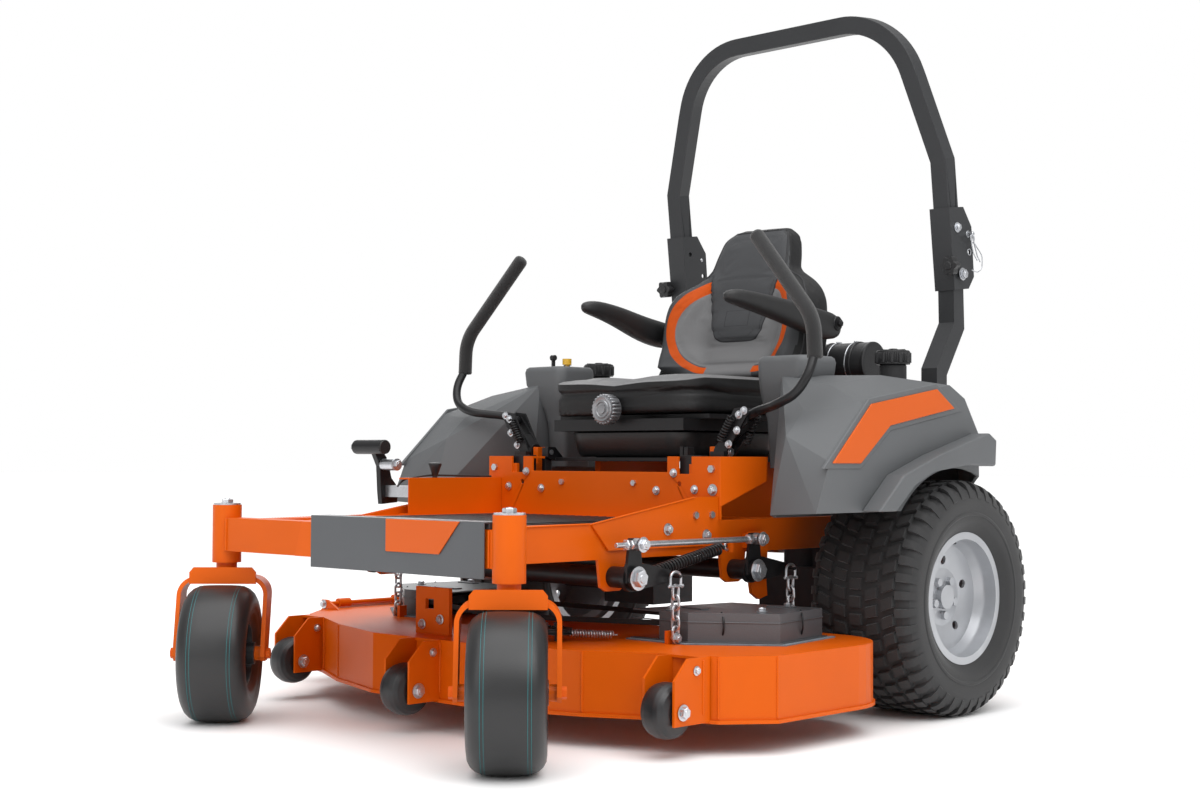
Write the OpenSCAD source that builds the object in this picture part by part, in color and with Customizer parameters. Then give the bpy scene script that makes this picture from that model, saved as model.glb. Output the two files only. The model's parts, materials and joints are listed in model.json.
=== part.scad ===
// Zero turn mower: frame, casters, drive wheels, cutting deck, seat, levers and roll hoop.
// The mower's front points along -Y and its left side along +X.
// The ground is z = 0 and the rear axle is y = 0 until everything is centred by placed().

/* [Frame] */
// Distance from the caster pivots to the rear axle
wheelbase = 1300; // [1240:10:1360]
// Half the distance between the two caster pivots
caster_x = 501; // [480:1:540]
// Half the width over the frame rails
rail_x = 400; // [385:1:410]
// Width of one frame rail
rail_w = 50; // [40:1:60]
// Height of the frame rails and of the front beam
rail_h = 80; // [60:1:90]
// Height of the top of the rails above the ground
rail_top = 487; // [480:1:520]
// Distance from the rear axle back to the end of the rails
rail_rear = 520; // [510:5:560]
// Distance from the rear axle forward to the control plate
plate_y = 512; // [500:2:530]
// Height of the control plate above the rails
plate_rise = 154; // [140:2:170]

/* [Rear wheels] */
// Outer diameter of a rear tyre
rear_tyre_d = 585; // [560:5:600]
// Width of a rear tyre
rear_tyre_w = 300; // [250:5:310]
// Distance from the mid-plane to the middle of a rear tyre
rear_wheel_x = 647; // [640:1:680]
// Diameter of the rear rim's seat
rear_rim_d = 304; // [280:2:310]
// Diameter of a drive axle shaft
axle_d = 32; // [28:1:40]

/* [Casters] */
// Outer diameter of a caster tyre
caster_tyre_d = 326; // [300:2:330]
// Width of a caster tyre
caster_tyre_w = 162; // [140:2:170]
// Horizontal distance from the swivel axis to the caster axle
caster_trail = 65; // [50:1:70]
// Angle at which both casters stand
caster_swivel = 45; // [0:1:60]
// Diameter of a caster barrel
barrel_d = 70; // [60:1:80]
// Diameter of a caster stem
stem_d = 25; // [20:1:30]
// Thickness of the fork's bent bar
fork_t = 10; // [8:1:14]
// Width of the fork's bent bar
fork_bar = 76; // [60:1:80]

/* [Deck] */
// Half the width of the cutting deck
deck_x = 797; // [780:1:820]
// Height of the deck's lower edge above the ground
deck_z = 69; // [60:1:80]
// Height of the deck shell
deck_h = 144; // [130:1:150]
// Plate thickness of the deck shell
deck_t = 6; // [4:1:8]
// Tip to tip length of a blade
blade_len = 530; // [500:2:534]
// Distance from the mid-plane to an outer spindle
spindle_x = 505; // [500:1:510]
// How far the middle spindle stands ahead of the outer ones
spindle_lead = 190; // [185:1:220]
// Diameter of a spindle shaft
spindle_d = 25; // [20:1:30]
// Diameter of a deck roller
roller_d = 120; // [100:2:124]
// Width of a deck roller
roller_w = 70; // [50:2:74]

/* [Deck lift] */
// Length of a lift arm from its shaft to the chain
lift_arm = 120; // [110:2:130]
// Length of the upper arm that carries the link rod
link_arm = 76; // [60:2:80]
// Diameter of a lift shaft
lift_shaft_d = 48; // [40:2:50]

/* [Seat] */
// Half the width of the seat cushion
seat_x = 265; // [240:5:268]
// Height of the cushion's underside
cushion_z = 751; // [745:1:760]
// Thickness of the cushion
cushion_t = 108; // [90:2:120]
// Height of the top of the seat back
back_top = 1300; // [1250:10:1320]

/* [Roll hoop] */
// Side of the square hoop tube
hoop_t = 50; // [45:1:54]
// Half the distance between the hoop's legs, at their middles
hoop_x = 484; // [478:1:486]
// Height of the fold pivot
hoop_pivot_z = 1150; // [1120:5:1180]
// Height of the top of the hoop, measured along its legs
hoop_top = 1910; // [1850:10:1950]
// Forward lean of the hoop
hoop_lean = 7; // [0:1:10]

/* [Levers] */
// Diameter of a lever rod
lever_d = 22; // [18:1:26]
// Diameter of a lever grip
grip_d = 34; // [28:1:38]

/* [Fits] */
// Radial clearance of a shaft in its bore
run_fit = 0.05; // [0.02:0.01:0.1]
// Air gap between faces that move past each other
face_gap = 0.3; // [0.2:0.1:1]

/* [Hidden] */
$fn = 48;
eps = 0.5;

orange = [0.86, 0.32, 0.02];
charcoal = [0.24, 0.24, 0.25];
black = [0.06, 0.06, 0.06];
silver = [0.70, 0.71, 0.72];

front_y = -wheelbase;
rail_z = rail_top - rail_h;
rear_axle_z = rear_tyre_d/2;
caster_r = caster_tyre_d/2;
fork_half = caster_tyre_w/2 + 28;
crown_z = caster_tyre_d + 20;
barrel_z = crown_z + 32;
barrel_top = rail_top + 31;
beam_d = 50;
plate_top = rail_top + plate_rise;

deck_top = deck_z + deck_h;
nose_y = -1085;
outer_spindle_y = -600;
center_spindle_y = outer_spindle_y - spindle_lead;
deck_rear_y = -305;
corner_r = 180;
roller_z = deck_z + 33;
roller_x = 655;
roller_y = -925 - roller_d/2;
center_roller_y = nose_y - roller_d/2 - 7;
chute_hinge_x = -deck_x - 8;
chute_hinge_z = deck_top + 14;
chute_y0 = -760;
chute_y1 = -440;
chute_reach = 170;
chute_slope = 32;

lift_z = 367;
front_shaft_y = -880;
rear_shaft_y = -450;
lift_side_x = rail_x + 60;
chain_x = lift_side_x + 29;
chain_lag = 5.5;
pedal_y = -810;
pedal_z = 547;
pedal_x = -482;

seat_hinge_y = -445;
seat_hinge_z = 652;
post_x = 90;
armrest_y = 95;
armrest_z = 1005;
arm_plate_x = seat_x + face_gap;
hoop_pivot_y = 400;
lever_pivot_y = -413;
lever_pivot_z = 652;
lever_swing_x = 412;
lever_swing_z = 740;
cap_x = 530;
cap_y = 50;
cap_z = 884;

reach_left = rear_wheel_x + rear_tyre_w/2;
reach_right = -chute_hinge_x + chute_reach*cos(chute_slope) + 4*sin(chute_slope);
reach_front = wheelbase + caster_trail*cos(caster_swivel)
    + (caster_r - 14)*cos(caster_swivel) + (caster_tyre_w/2 - 14)*sin(caster_swivel) + 14;
reach_rear = rail_rear + 51;
shift_x = (reach_right - max(reach_left, deck_x + 6))/2;
shift_y = (reach_front - reach_rear)/2;

// Moves the model so that the middle of its footprint is the origin.
module placed() { translate([shift_x, shift_y, 0]) children(); }
// Draws its children on the left side and mirrored on the right side.
module both() { children(); mirror([1, 0, 0]) children(); }
module block(x0, x1, y0, y1, z0, z1) { translate([x0, y0, z0]) cube([x1 - x0, y1 - y0, z1 - z0]); }
module xcyl(d, x0, x1, y, z) { translate([x0, y, z]) rotate([0, 90, 0]) cylinder(d = d, h = x1 - x0); }
module ycyl(d, x, y0, y1, z) { translate([x, y1, z]) rotate([90, 0, 0]) cylinder(d = d, h = y1 - y0); }
module zcyl(d, x, y, z0, z1) { translate([x, y, z0]) cylinder(d = d, h = z1 - z0); }
// Extrudes an outline given in (y, z) from x0 to x1.
module side_plate(x0, x1) {
    translate([x0, 0, 0]) rotate([90, 0, 90]) linear_extrude(x1 - x0) children();
}
// Extrudes an outline given in (x, z) from y0 to y1.
module face_plate(y0, y1) {
    translate([0, y1, 0]) rotate([90, 0, 0]) linear_extrude(y1 - y0) children();
}
// A straight round bar between two points.
module bar(p, q, d) {
    v = q - p;
    translate(p) rotate([0, acos(v[2]/norm(v)), atan2(v[1], v[0])]) cylinder(d = d, h = norm(v));
}
// Round bars through a list of points, with ball joints at the bends.
module bent_bar(points, d) {
    for (i = [0:len(points) - 2]) bar(points[i], points[i + 1], d);
    for (i = [1:len(points) - 2]) translate(points[i]) sphere(d = d + 2, $fn = 32);
}
module hex_head(d, h) { cylinder(d = d, h = h, $fn = 6); }
function arc(cx, cy, r, a0, a1, n) =
    [for (i = [0:n]) let (a = a0 + (a1 - a0)*i/n) [cx + r*cos(a), cy + r*sin(a)]];
function flipped(points) = [for (i = [len(points) - 1:-1:0]) [-points[i][0], points[i][1]]];

// ---- frame ----

module box_rail(y0, y1) {
    wall = 5;
    difference() {
        block(rail_x - rail_w, rail_x, y0, y1, rail_z, rail_top);
        block(rail_x - rail_w + wall, rail_x - wall, y0 + wall, y1 - wall, rail_z + wall, rail_top - wall);
    }
}

module main_frame() placed() {
    color(orange) {
        both() {
            difference() {
                union() {
                    box_rail(front_y + beam_d/2, rail_rear);
                    shaft_hanger(front_shaft_y);
                    shaft_hanger(rear_shaft_y);
                }
                for (y = [front_shaft_y, rear_shaft_y])
                    xcyl(lift_shaft_d + 2*run_fit, rail_x - 20, rail_x + 20, y, lift_z);
            }
            gusset();
            hook_bracket();
            rear_tower();
        }
        cross_member(-plate_y + 20, -plate_y + 60);
        cross_member(0, 40);
        cross_member(rail_rear - 40, rail_rear);
        engine_plate();
        footrest_box();
        rear_guard();
        hitch_plate();
        seat_mount();
    }
}
// A plate under the rail that carries a lift shaft.
module shaft_hanger(y) {
    side_plate(rail_x - 8, rail_x)
        polygon([[y - 50, rail_z + 8], [y - 40, lift_z - 22], [y - 22, lift_z - 32],
            [y + 22, lift_z - 32], [y + 40, lift_z - 22], [y + 50, rail_z + 8]]);
}
module gusset() {
    side_plate(rail_x, rail_x + 6)
        polygon([[-956, rail_top], [-600, rail_top + 57], [-plate_y - 1, rail_top + 57],
            [-plate_y - 1, rail_z + 20], [-900, rail_z + 20]]);
}
module hook_bracket() {
    side_plate(rail_x + 20, rail_x + 30)
        polygon([[-420, rail_top - 30], [-420, lift_z - 20], [-412, lift_z - 60], [-385, lift_z - 76],
            [-352, lift_z - 68], [-356, lift_z - 30], [-348, rail_top - 30]]);
    block(rail_x, rail_x + 20, -412, -356, rail_z + 10, rail_top - 34);
    // anchor of the assist spring
    block(rail_x, rail_x + 56, -527, -517, rail_z + 5, rail_z + 35);
}
// The plate that carries the roll hoop post.
module rear_tower() {
    side_plate(rail_x, rail_x + 8)
        polygon([[265, rail_z + 10], [265, rail_top + 120], [395, rail_top + 120], [395, rail_z + 10]]);
}
module cross_member(y0, y1) {
    block(-rail_x + rail_w, rail_x - rail_w, y0, y1, rail_z, rail_top);
}
module engine_plate() {
    difference() {
        block(-rail_x, rail_x, 60, rail_rear, rail_top, rail_top + 10);
        zcyl(90, 0, 300, rail_top - 1, rail_top + 11);
    }
}
// The open box on the right rail that carries the lift pedal's bar.
module footrest_box() {
    difference() {
        block(-rail_x, -rail_x + 40, pedal_y - 30, -plate_y - 1, rail_top, rail_top + 96);
        block(-rail_x + 4, -rail_x + 36, pedal_y - 31, -530, rail_top + 4, rail_top + 92);
        block(-rail_x - 1, -rail_x + 36, pedal_y - 31, -762, rail_top + 4, rail_top + 92);
    }
}
module rear_guard() {
    guard_y = rail_rear + 32;
    guard_top = rail_top + 165;
    bar_d = 38;
    for (s = [-1, 1]) {
        ycyl(bar_d, s*300, rail_rear, guard_y, rail_z + rail_h/2);
        zcyl(bar_d, s*300, guard_y, rail_z + rail_h/2 - bar_d/2, guard_top);
    }
    xcyl(bar_d, -300 - bar_d/2, 300 + bar_d/2, guard_y, guard_top);
}
module hitch_plate() {
    difference() {
        block(-60, 60, rail_rear, rail_rear + 50, rail_z, rail_z + 10);
        zcyl(19, 0, rail_rear + 26, rail_z - 1, rail_z + 11);
    }
}
// The upright ribs and tray that carry the seat's hinge and the lever pivots.
module seat_mount() {
    for (s = [-1, 1])
        block(s*200 - 10, s*200 + 10, -300, -20, rail_top - 40, seat_hinge_z - 24);
    block(-rail_x + rail_w, rail_x - rail_w, -300, -280, rail_top - 40, rail_top);
    block(-rail_x + rail_w, rail_x - rail_w, -40, -20, rail_top - 40, rail_top);
}

module front_beam() placed() {
    color(orange) {
        difference() {
            union() {
                block(-caster_x, caster_x, front_y - beam_d/2, front_y + beam_d/2, rail_z, rail_top);
                both() zcyl(barrel_d, caster_x, front_y, barrel_z, barrel_top);
            }
            block(-caster_x + 45, caster_x - 45, front_y - beam_d/2 + 5, front_y + beam_d/2 - 5,
                rail_z + 5, rail_top - 5);
            for (s = [-1, 1])
                zcyl(stem_d + 2*run_fit, s*caster_x, front_y, barrel_z - 1, barrel_top - 8);
        }
        // slanted gusset beside the cover
        face_plate(front_y - beam_d/2 - 6, front_y - beam_d/2)
            polygon([[-185, rail_z], [-124, rail_z], [-124, rail_top], [-160, rail_top]]);
    }
}

module beam_cover() placed() {
    y0 = front_y - beam_d/2 - 10;
    top = rail_top + 16;
    low = rail_z - 22;
    x0 = -120;
    x1 = caster_x - barrel_d/2 - 4;
    color(charcoal) {
        block(x0, x1, y0, y0 + 4, low, top);
        block(x0, x1, y0, front_y + 20, top - 4, top);
        block(x0, x1, y0, y0 + 26, low, low + 4);
        block(x0, x1, front_y - 20, front_y + 20, rail_top, top - 4);
    }
}

module control_plate() placed() {
    t = 6;
    y0 = -plate_y;
    mid_top = plate_top - 39;
    color(orange) {
        difference() {
            face_plate(y0, y0 + t)
                polygon([[-410, rail_top], [rail_w - rail_x, rail_top], [rail_w - rail_x, rail_z + 33],
                    [rail_x - rail_w, rail_z + 33], [rail_x - rail_w, rail_top], [410, rail_top],
                    [410, plate_top], [240, plate_top], [240, mid_top], [-240, mid_top],
                    [-240, plate_top], [-410, plate_top]]);
            for (s = [-1, 1]) {
                block(s*297 - 22, s*297 + 22, y0 - 1, y0 + t + 1, plate_top - 43, plate_top + 1);
                ycyl(13, s*279, y0 - 1, y0 + t + 1, plate_top - 68);
            }
        }
        both() {
            // swept ear and top flange
            hull() {
                block(404, 410, y0, y0 + t, plate_top - 121, plate_top);
                block(447, 453, -386, -380, plate_top - 60, plate_top);
            }
            block(330, 410, y0 + t, y0 + 60, plate_top - 6, plate_top);
            block(240, 266, y0 + t, y0 + 48, plate_top - 6, plate_top);
            // post of the lever pivot
            block(306, 324, y0 + t, lever_pivot_y + 14, lever_pivot_z - 80, lever_pivot_z - 30);
            block(306, 324, lever_pivot_y - 14, lever_pivot_y + 14, lever_pivot_z - 31, lever_pivot_z + 14);
        }
    }
}

module floor_pan() placed() {
    color(orange) {
        block(-rail_x + rail_w, rail_x - rail_w, front_y + beam_d/2, -plate_y, rail_top - 12, rail_top - 7);
        for (y = [front_y + 90:95:-plate_y - 40])
            block(-300, 300, y, y + 30, rail_top - 7, rail_top - 3);
    }
}

// ---- bodywork ----

function fender_inner(d) = [[-330 + d, 490], [-300 + d, 720], [-296 + d, 845 - d], [170 - d, 840 - d],
    [262 - d, 760], [262 - d, 490]];
function fender_ridge(d) = [[-560 + d, 505], [-500 + d, 690], [-430 + d, 750 - d], [-325 + d, 816 - d],
    [-112, 848 - d], [164 - d, 833 - d], [245 - d, 765 - d], [262 - d, 505]];
function fender_outer(d) = [[-578 + d, 512], [-526 + d, 629], [-385 + d, 762 - d], [-20, 822 - d],
    [50 - d, 790 - d], [117 - d, 700], [117 - d, 512]];
fender_x0 = rail_x + 32;
fender_x2 = rear_wheel_x + 98;
fender_t = 6;

module fender_body(d) {
    hull() {
        side_plate(fender_x0 + d, fender_x0 + d + 1) polygon(fender_inner(d));
        side_plate(600, 601) polygon(fender_ridge(d));
        side_plate(fender_x2 - 1 - d, fender_x2 - d) polygon(fender_outer(d));
    }
}
module fender() {
    color(charcoal) difference() {
        union() {
            difference() {
                fender_body(0);
                translate([0, 0, -7]) fender_body(fender_t);
            }
            block(rail_x, fender_x0 + 3, -280, 240, rail_top + 122, rail_top + 126);
        }
        xcyl(rear_tyre_d + 60, rear_wheel_x - rear_tyre_w/2 - 14, rear_wheel_x + rear_tyre_w/2 + 20,
            0, rear_axle_z);
        zcyl(84, cap_x, cap_y, cap_z - 60, cap_z + 20);
        block(hoop_x - hoop_t/2 - 4, hoop_x + hoop_t/2 + 4, 235, 400, 480, 900);
    }
}
module fender_left() placed() { fender(); }
module fender_right() placed() { mirror([1, 0, 0]) fender(); }

module flares() placed() {
    color(charcoal) both() side_plate(fender_x2, reach_left)
        polygon([[-401, 514], [-298, 599], [-147, 647], [84, 704], [117, 687], [112, 620],
            [-20, 622], [-169, 606], [-250, 575], [-330, 514]]);
}
module trim_panels() placed() {
    color(orange) {
        both() side_plate(fender_x2, fender_x2 + 5)
            polygon([[-500, 640], [-372, 752], [-40, 808], [4, 772], [-297, 662], [-399, 640]]);
        face_plate(front_y - beam_d/2 - 14, front_y - beam_d/2 - 10)
            polygon([[150, rail_top - 56], [325, rail_top - 56], [390, rail_top + 15], [150, rail_top + 15]]);
    }
}
module console_box() {
    side_plate(345, 505)
        polygon([[-300, 847], [-300, 893], [-170, 897], [-150, 880], [-150, 847]]);
    side_plate(345, fender_x0 - 2)
        polygon([[-300, 847], [-280, rail_top + 126], [-150, rail_top + 126], [-150, 847]]);
    block(380, fender_x0 - 2, -270, -160, rail_top, rail_top + 122);
}
module consoles() placed() {
    color(charcoal) difference() {
        both() console_box();
        // openings for the throttle lever and the clutch knob
        block(-450, -440, -260, -200, 852, 900);
        zcyl(12 + 2*face_gap, -390, -230, 860, 900);
    }
}
module fuel_tanks() placed() {
    color(black) both() {
        difference() {
            union() {
                block(rail_x + 50, 590, -230, 180, 645, 785);
                zcyl(70, cap_x, cap_y, 780, cap_z);
            }
            block(rail_x + 56, 584, -224, 174, 651, 779);
            zcyl(60, cap_x, cap_y, 770, cap_z + 1);
        }
        // mounting rib against the fender's inner wall
        block(fender_x0 + fender_t, rail_x + 51, -140, 170, 645, 660);
    }
}
module fuel_cap() {
    color(black) difference() {
        union() {
            zcyl(88, cap_x, cap_y, cap_z + face_gap, cap_z + 34);
            for (a = [0:30:330])
                translate([cap_x, cap_y, 0]) rotate([0, 0, a]) zcyl(9, 43, 0, cap_z + 4, cap_z + 30);
        }
        zcyl(58, cap_x, cap_y, cap_z, cap_z + 10);
    }
    color(black) zcyl(60 - 2*run_fit, cap_x, cap_y, cap_z - 12, cap_z + 10);
}
module fuel_cap_left() placed() { fuel_cap(); }
module fuel_cap_right() placed() { mirror([1, 0, 0]) fuel_cap(); }

module throttle_lever() placed() {
    color(black) {
        block(-448, -442, -235, -225, 866, 925);
        xcyl(16, -452, -438, -230, 925);
        xcyl(20, -450 + face_gap, -440 - face_gap, -230, 866);
    }
}
module pto_knob() placed() {
    color("gold") zcyl(26, -390, -230, 903, 920);
    color(silver) zcyl(12, -390, -230, 862, 903);
}

// ---- engine and drive ----

module engine_block() placed() {
    z0 = rail_top + 10;
    color([0.35, 0.35, 0.36]) {
        zcyl(240, 0, 300, z0, z0 + 210);
        for (s = [-1, 1]) translate([0, 300, z0 + 152]) rotate([0, 0, 90 - s*42]) {
            block(100, 230, -50, 50, -50, 50);
            for (k = [0:6]) block(110 + 18*k, 116 + 18*k, -60, 60, -58, 58);
            block(230, 262, -58, 58, -56, 56);
        }
        // electric clutch and its shaft
        zcyl(60, 0, 300, z0 - 70, z0);
        zcyl(150, 0, 300, z0 - 130, z0 - 70);
    }
}
module engine_shroud() placed() {
    z0 = rail_top + 220;
    color(black) {
        zcyl(390, 0, 300, z0, z0 + 90);
        zcyl(290, 0, 300, z0 + 90, z0 + 120);
        // air cleaner
        xcyl(118, 150, 335, 235, z0 + 195);
        zcyl(60, 120, 260, z0 + 80, z0 + 150);
        xcyl(60, 100, 152, 235, z0 + 195);
        block(100, 150, 215, 260, z0 + 110, z0 + 195);
    }
}
module muffler() placed() {
    y = 478;
    z = rail_top + 10 + 46;
    color([0.2, 0.2, 0.2]) {
        difference() {
            xcyl(90, -190, 190, y, z);
            xcyl(84, -186, 186, y, z);
        }
        for (s = [-1, 1]) block(s*150 - 15, s*150 + 15, y - 20, y + 20, rail_top + 10, z - 42);
        xcyl(30, 188, 232, y, z);
    }
}
module transaxles() placed() {
    horn_end = rear_wheel_x - 45;
    color([0.16, 0.16, 0.17]) both() difference() {
        union() {
            block(190, 380, -80, 90, rear_axle_z - 70, rear_axle_z + 60);
            block(260, rail_x - 8, -40, 60, rear_axle_z + 60, rail_z);
            zcyl(100, 290, -20, rear_axle_z + 60, rail_z);
            xcyl(84, 380, horn_end, 0, rear_axle_z);
        }
        xcyl(axle_d + 2*run_fit, horn_end - 130, horn_end + 1, 0, rear_axle_z);
    }
}

module rear_tyre() {
    r = rear_tyre_d/2;
    w = rear_tyre_w/2;
    b = rear_rim_d/2;
    color(black) translate([rear_wheel_x, 0, rear_axle_z]) rotate([0, 90, 0]) rotate_extrude($fn = 96)
        polygon([[b, -w + 29], [b + 13, -w + 29], [b + 30, -w + 8], [b + 60, -w], [r - 42, -w + 1],
            [r - 14, -w + 14], [r, -w + 38], [r, w - 38], [r - 14, w - 14], [r - 42, w - 1],
            [b + 60, w], [b + 30, w - 8], [b + 13, w - 29], [b, w - 29],
            [b, w - 48], [b + 60, w - 20], [r - 28, w - 30], [r - 28, -w + 30], [b + 60, -w + 20],
            [b, -w + 48]]);
}
module rear_rim() {
    w = rear_tyre_w/2 - 28;
    b = rear_rim_d/2;
    color(silver) translate([rear_wheel_x, 0, rear_axle_z]) rotate([0, 90, 0]) {
        difference() {
            rotate_extrude($fn = 96)
                polygon([[b + 12, w + 6], [b + 12, w], [b, w], [b, w - 20], [b - 14, w - 40],
                    [b - 14, -w + 40], [b, -w + 20], [b, -w], [b + 12, -w], [b + 12, -w - 6],
                    [b - 6, -w - 6], [b - 6, -w + 22], [b - 20, -w + 42], [b - 20, w - 58],
                    [70, w - 66], [0, w - 66], [0, w - 60], [72, w - 60], [b - 20, w - 50],
                    [b - 6, w - 22], [b - 6, w + 6]]);
            for (a = [36:72:324]) rotate([0, 0, a]) zcyl(22, 92, 0, w - 90, w - 20);
        }
        // hub, studs and axle shaft
        zcyl(130, 0, 0, w - 82, w - 65);
        zcyl(60, 0, 0, w - 61, w - 44);
        zcyl(axle_d, 0, 0, -160, w - 81);
        for (a = [0:72:288]) rotate([0, 0, a]) translate([46, 0, w - 61]) hex_head(22, 13);
    }
}
module tyre_rear_left() placed() { rear_tyre(); }
module tyre_rear_right() placed() { mirror([1, 0, 0]) rear_tyre(); }
module rim_rear_left() placed() { rear_rim(); }
module rim_rear_right() placed() { mirror([1, 0, 0]) rear_rim(); }

// ---- casters ----

// Puts a caster piece, drawn round the swivel axis with its wheel ahead, at one barrel.
module at_caster(side) { translate([side*caster_x, front_y, 0]) rotate([0, 0, caster_swivel]) children(); }

module fork_outline(x, top, r) {
    square_top = top - r;
    translate([-x, 0]) square([2*x, square_top]);
    translate([-x + r, 0]) square([2*x - 2*r, top]);
    for (s = [-1, 1]) translate([s*(x - r), square_top]) circle(r = r);
}
module fork() {
    leg_z = caster_r - 17;
    inner = fork_half - fork_t;
    color(orange) difference() {
        union() {
            intersection() {
                face_plate(-200, 100) difference() {
                    fork_outline(fork_half, crown_z, 45);
                    fork_outline(inner, crown_z - fork_t, 35);
                }
                side_plate(-fork_half - 5, fork_half + 5)
                    polygon([[30, crown_z + 1], [-fork_bar + 30, crown_z + 1],
                        [-caster_trail - fork_bar/2 + 6, leg_z + 12],
                        [-caster_trail - fork_bar/2 + 20, leg_z], [-caster_trail + fork_bar/2 - 20, leg_z],
                        [-caster_trail + fork_bar/2 - 6, leg_z + 12]]);
            }
            // stiffening plate across the front of the crown
            face_plate(-fork_bar + 22, -fork_bar + 30)
                polygon([[-80, crown_z - 18], [80, crown_z - 18], [80, crown_z + 10], [70, crown_z + 22],
                    [-70, crown_z + 22], [-80, crown_z + 10]]);
            zcyl(50, 0, 0, crown_z, barrel_z - face_gap);
        }
        xcyl(16, -fork_half - 1, fork_half + 1, -caster_trail, caster_r);
    }
    color(silver) {
        zcyl(stem_d, 0, 0, barrel_z - face_gap, barrel_top - 12);
        xcyl(16, -fork_half - 6, fork_half + 6, -caster_trail, caster_r);
        for (s = [-1, 1]) translate([s*fork_half, -caster_trail, caster_r]) rotate([0, s*90, 0]) {
            difference() {
                hex_head(26, 10);
                zcyl(16, 0, 0, -1, 11);
            }
            translate([0, 0, -fork_t - 16]) difference() {
                cylinder(d = 34, h = 16);
                zcyl(16, 0, 0, -1, 17);
            }
        }
    }
}
module fork_left() placed() { at_caster(1) fork(); }
module fork_right() placed() { at_caster(-1) fork(); }

module at_caster_wheel(side) {
    at_caster(side) translate([0, -caster_trail, caster_r]) rotate([0, 90, 0]) children();
}
module caster_tyre() {
    r = caster_r;
    w = caster_tyre_w/2;
    color(black) rotate_extrude($fn = 96)
        polygon([[76, -w + 16], [100, -w + 4], [r - 40, -w], [r - 16, -w + 8], [r - 5, -w + 20], [r, -w + 38],
            [r, w - 38], [r - 5, w - 20], [r - 16, w - 8], [r - 40, w], [100, w - 4], [76, w - 16],
            [76, w - 30], [r - 20, w - 26], [r - 20, -w + 26], [76, -w + 30]]);
}
module caster_rim() {
    w = caster_tyre_w/2;
    hub = fork_half - fork_t - 16 - face_gap;
    color([0.13, 0.13, 0.14]) difference() {
        rotate_extrude($fn = 96)
            polygon([[76, -w + 16], [70, -w + 16], [66, -w + 40], [66, -4], [26, -4], [26, -hub], [6, -hub],
                [6, hub], [26, hub], [26, 4], [66, 4], [66, w - 40], [70, w - 16], [76, w - 16]]);
        zcyl(16 + 2*run_fit, 0, 0, -hub - 1, hub + 1);
    }
}
module tyre_front_left() placed() { at_caster_wheel(1) caster_tyre(); }
module tyre_front_right() placed() { at_caster_wheel(-1) caster_tyre(); }
module rim_front_left() placed() { at_caster_wheel(1) caster_rim(); }
module rim_front_right() placed() { at_caster_wheel(-1) caster_rim(); }

// ---- levers ----

module lever_base() {
    p = [lever_pivot_y, lever_pivot_z];
    color(black) {
        // pivot shaft and sloping bracket
        difference() {
            xcyl(44, 326, 352, p[0], p[1]);
            xcyl(20 + 2*run_fit, 325, 353, p[0], p[1]);
        }
        face_plate(p[0] - 18, p[0] - 12)
            polygon([[330, p[1] + 16], [352, p[1] + 16], [428, lever_swing_z - 16], [428, lever_swing_z + 12],
                [402, lever_swing_z + 12]]);
        face_plate(p[0] + 12, p[0] + 18)
            polygon([[330, p[1] + 16], [352, p[1] + 16], [428, lever_swing_z - 16], [428, lever_swing_z + 12],
                [402, lever_swing_z + 12]]);
        face_plate(p[0] - 12, p[0] + 12)
            polygon([[330, p[1] + 16], [352, p[1] + 16], [384, p[1] + 44], [362, p[1] + 50]]);
        ycyl(12, lever_swing_x, p[0] - 20, p[0] + 20, lever_swing_z);
    }
}
module lever_base_left() placed() { lever_base(); }
module lever_base_right() placed() { mirror([1, 0, 0]) lever_base(); }

module lever() {
    y0 = lever_pivot_y;
    color(black) {
        difference() {
            ycyl(26, lever_swing_x, y0 - 12 + face_gap, y0 + 12 - face_gap, lever_swing_z);
            ycyl(12 + 2*run_fit, lever_swing_x, y0 - 13, y0 + 13, lever_swing_z);
        }
        bent_bar([[lever_swing_x + 11, y0, lever_swing_z + 3], [450, y0, 754], [543, y0 - 55, 765],
            [600, y0 - 48, 790], [624, y0 - 30, 840], [620, y0, 886]], lever_d);
        bent_bar([[620, y0, 886], [616, y0, 973], [422, y0 + 28, 1190]], grip_d);
        translate([422, y0 + 28, 1190]) sphere(d = grip_d, $fn = 32);
    }
}
module lever_left() placed() { lever(); }
module lever_right() placed() { mirror([1, 0, 0]) lever(); }

// ---- seat ----

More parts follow.
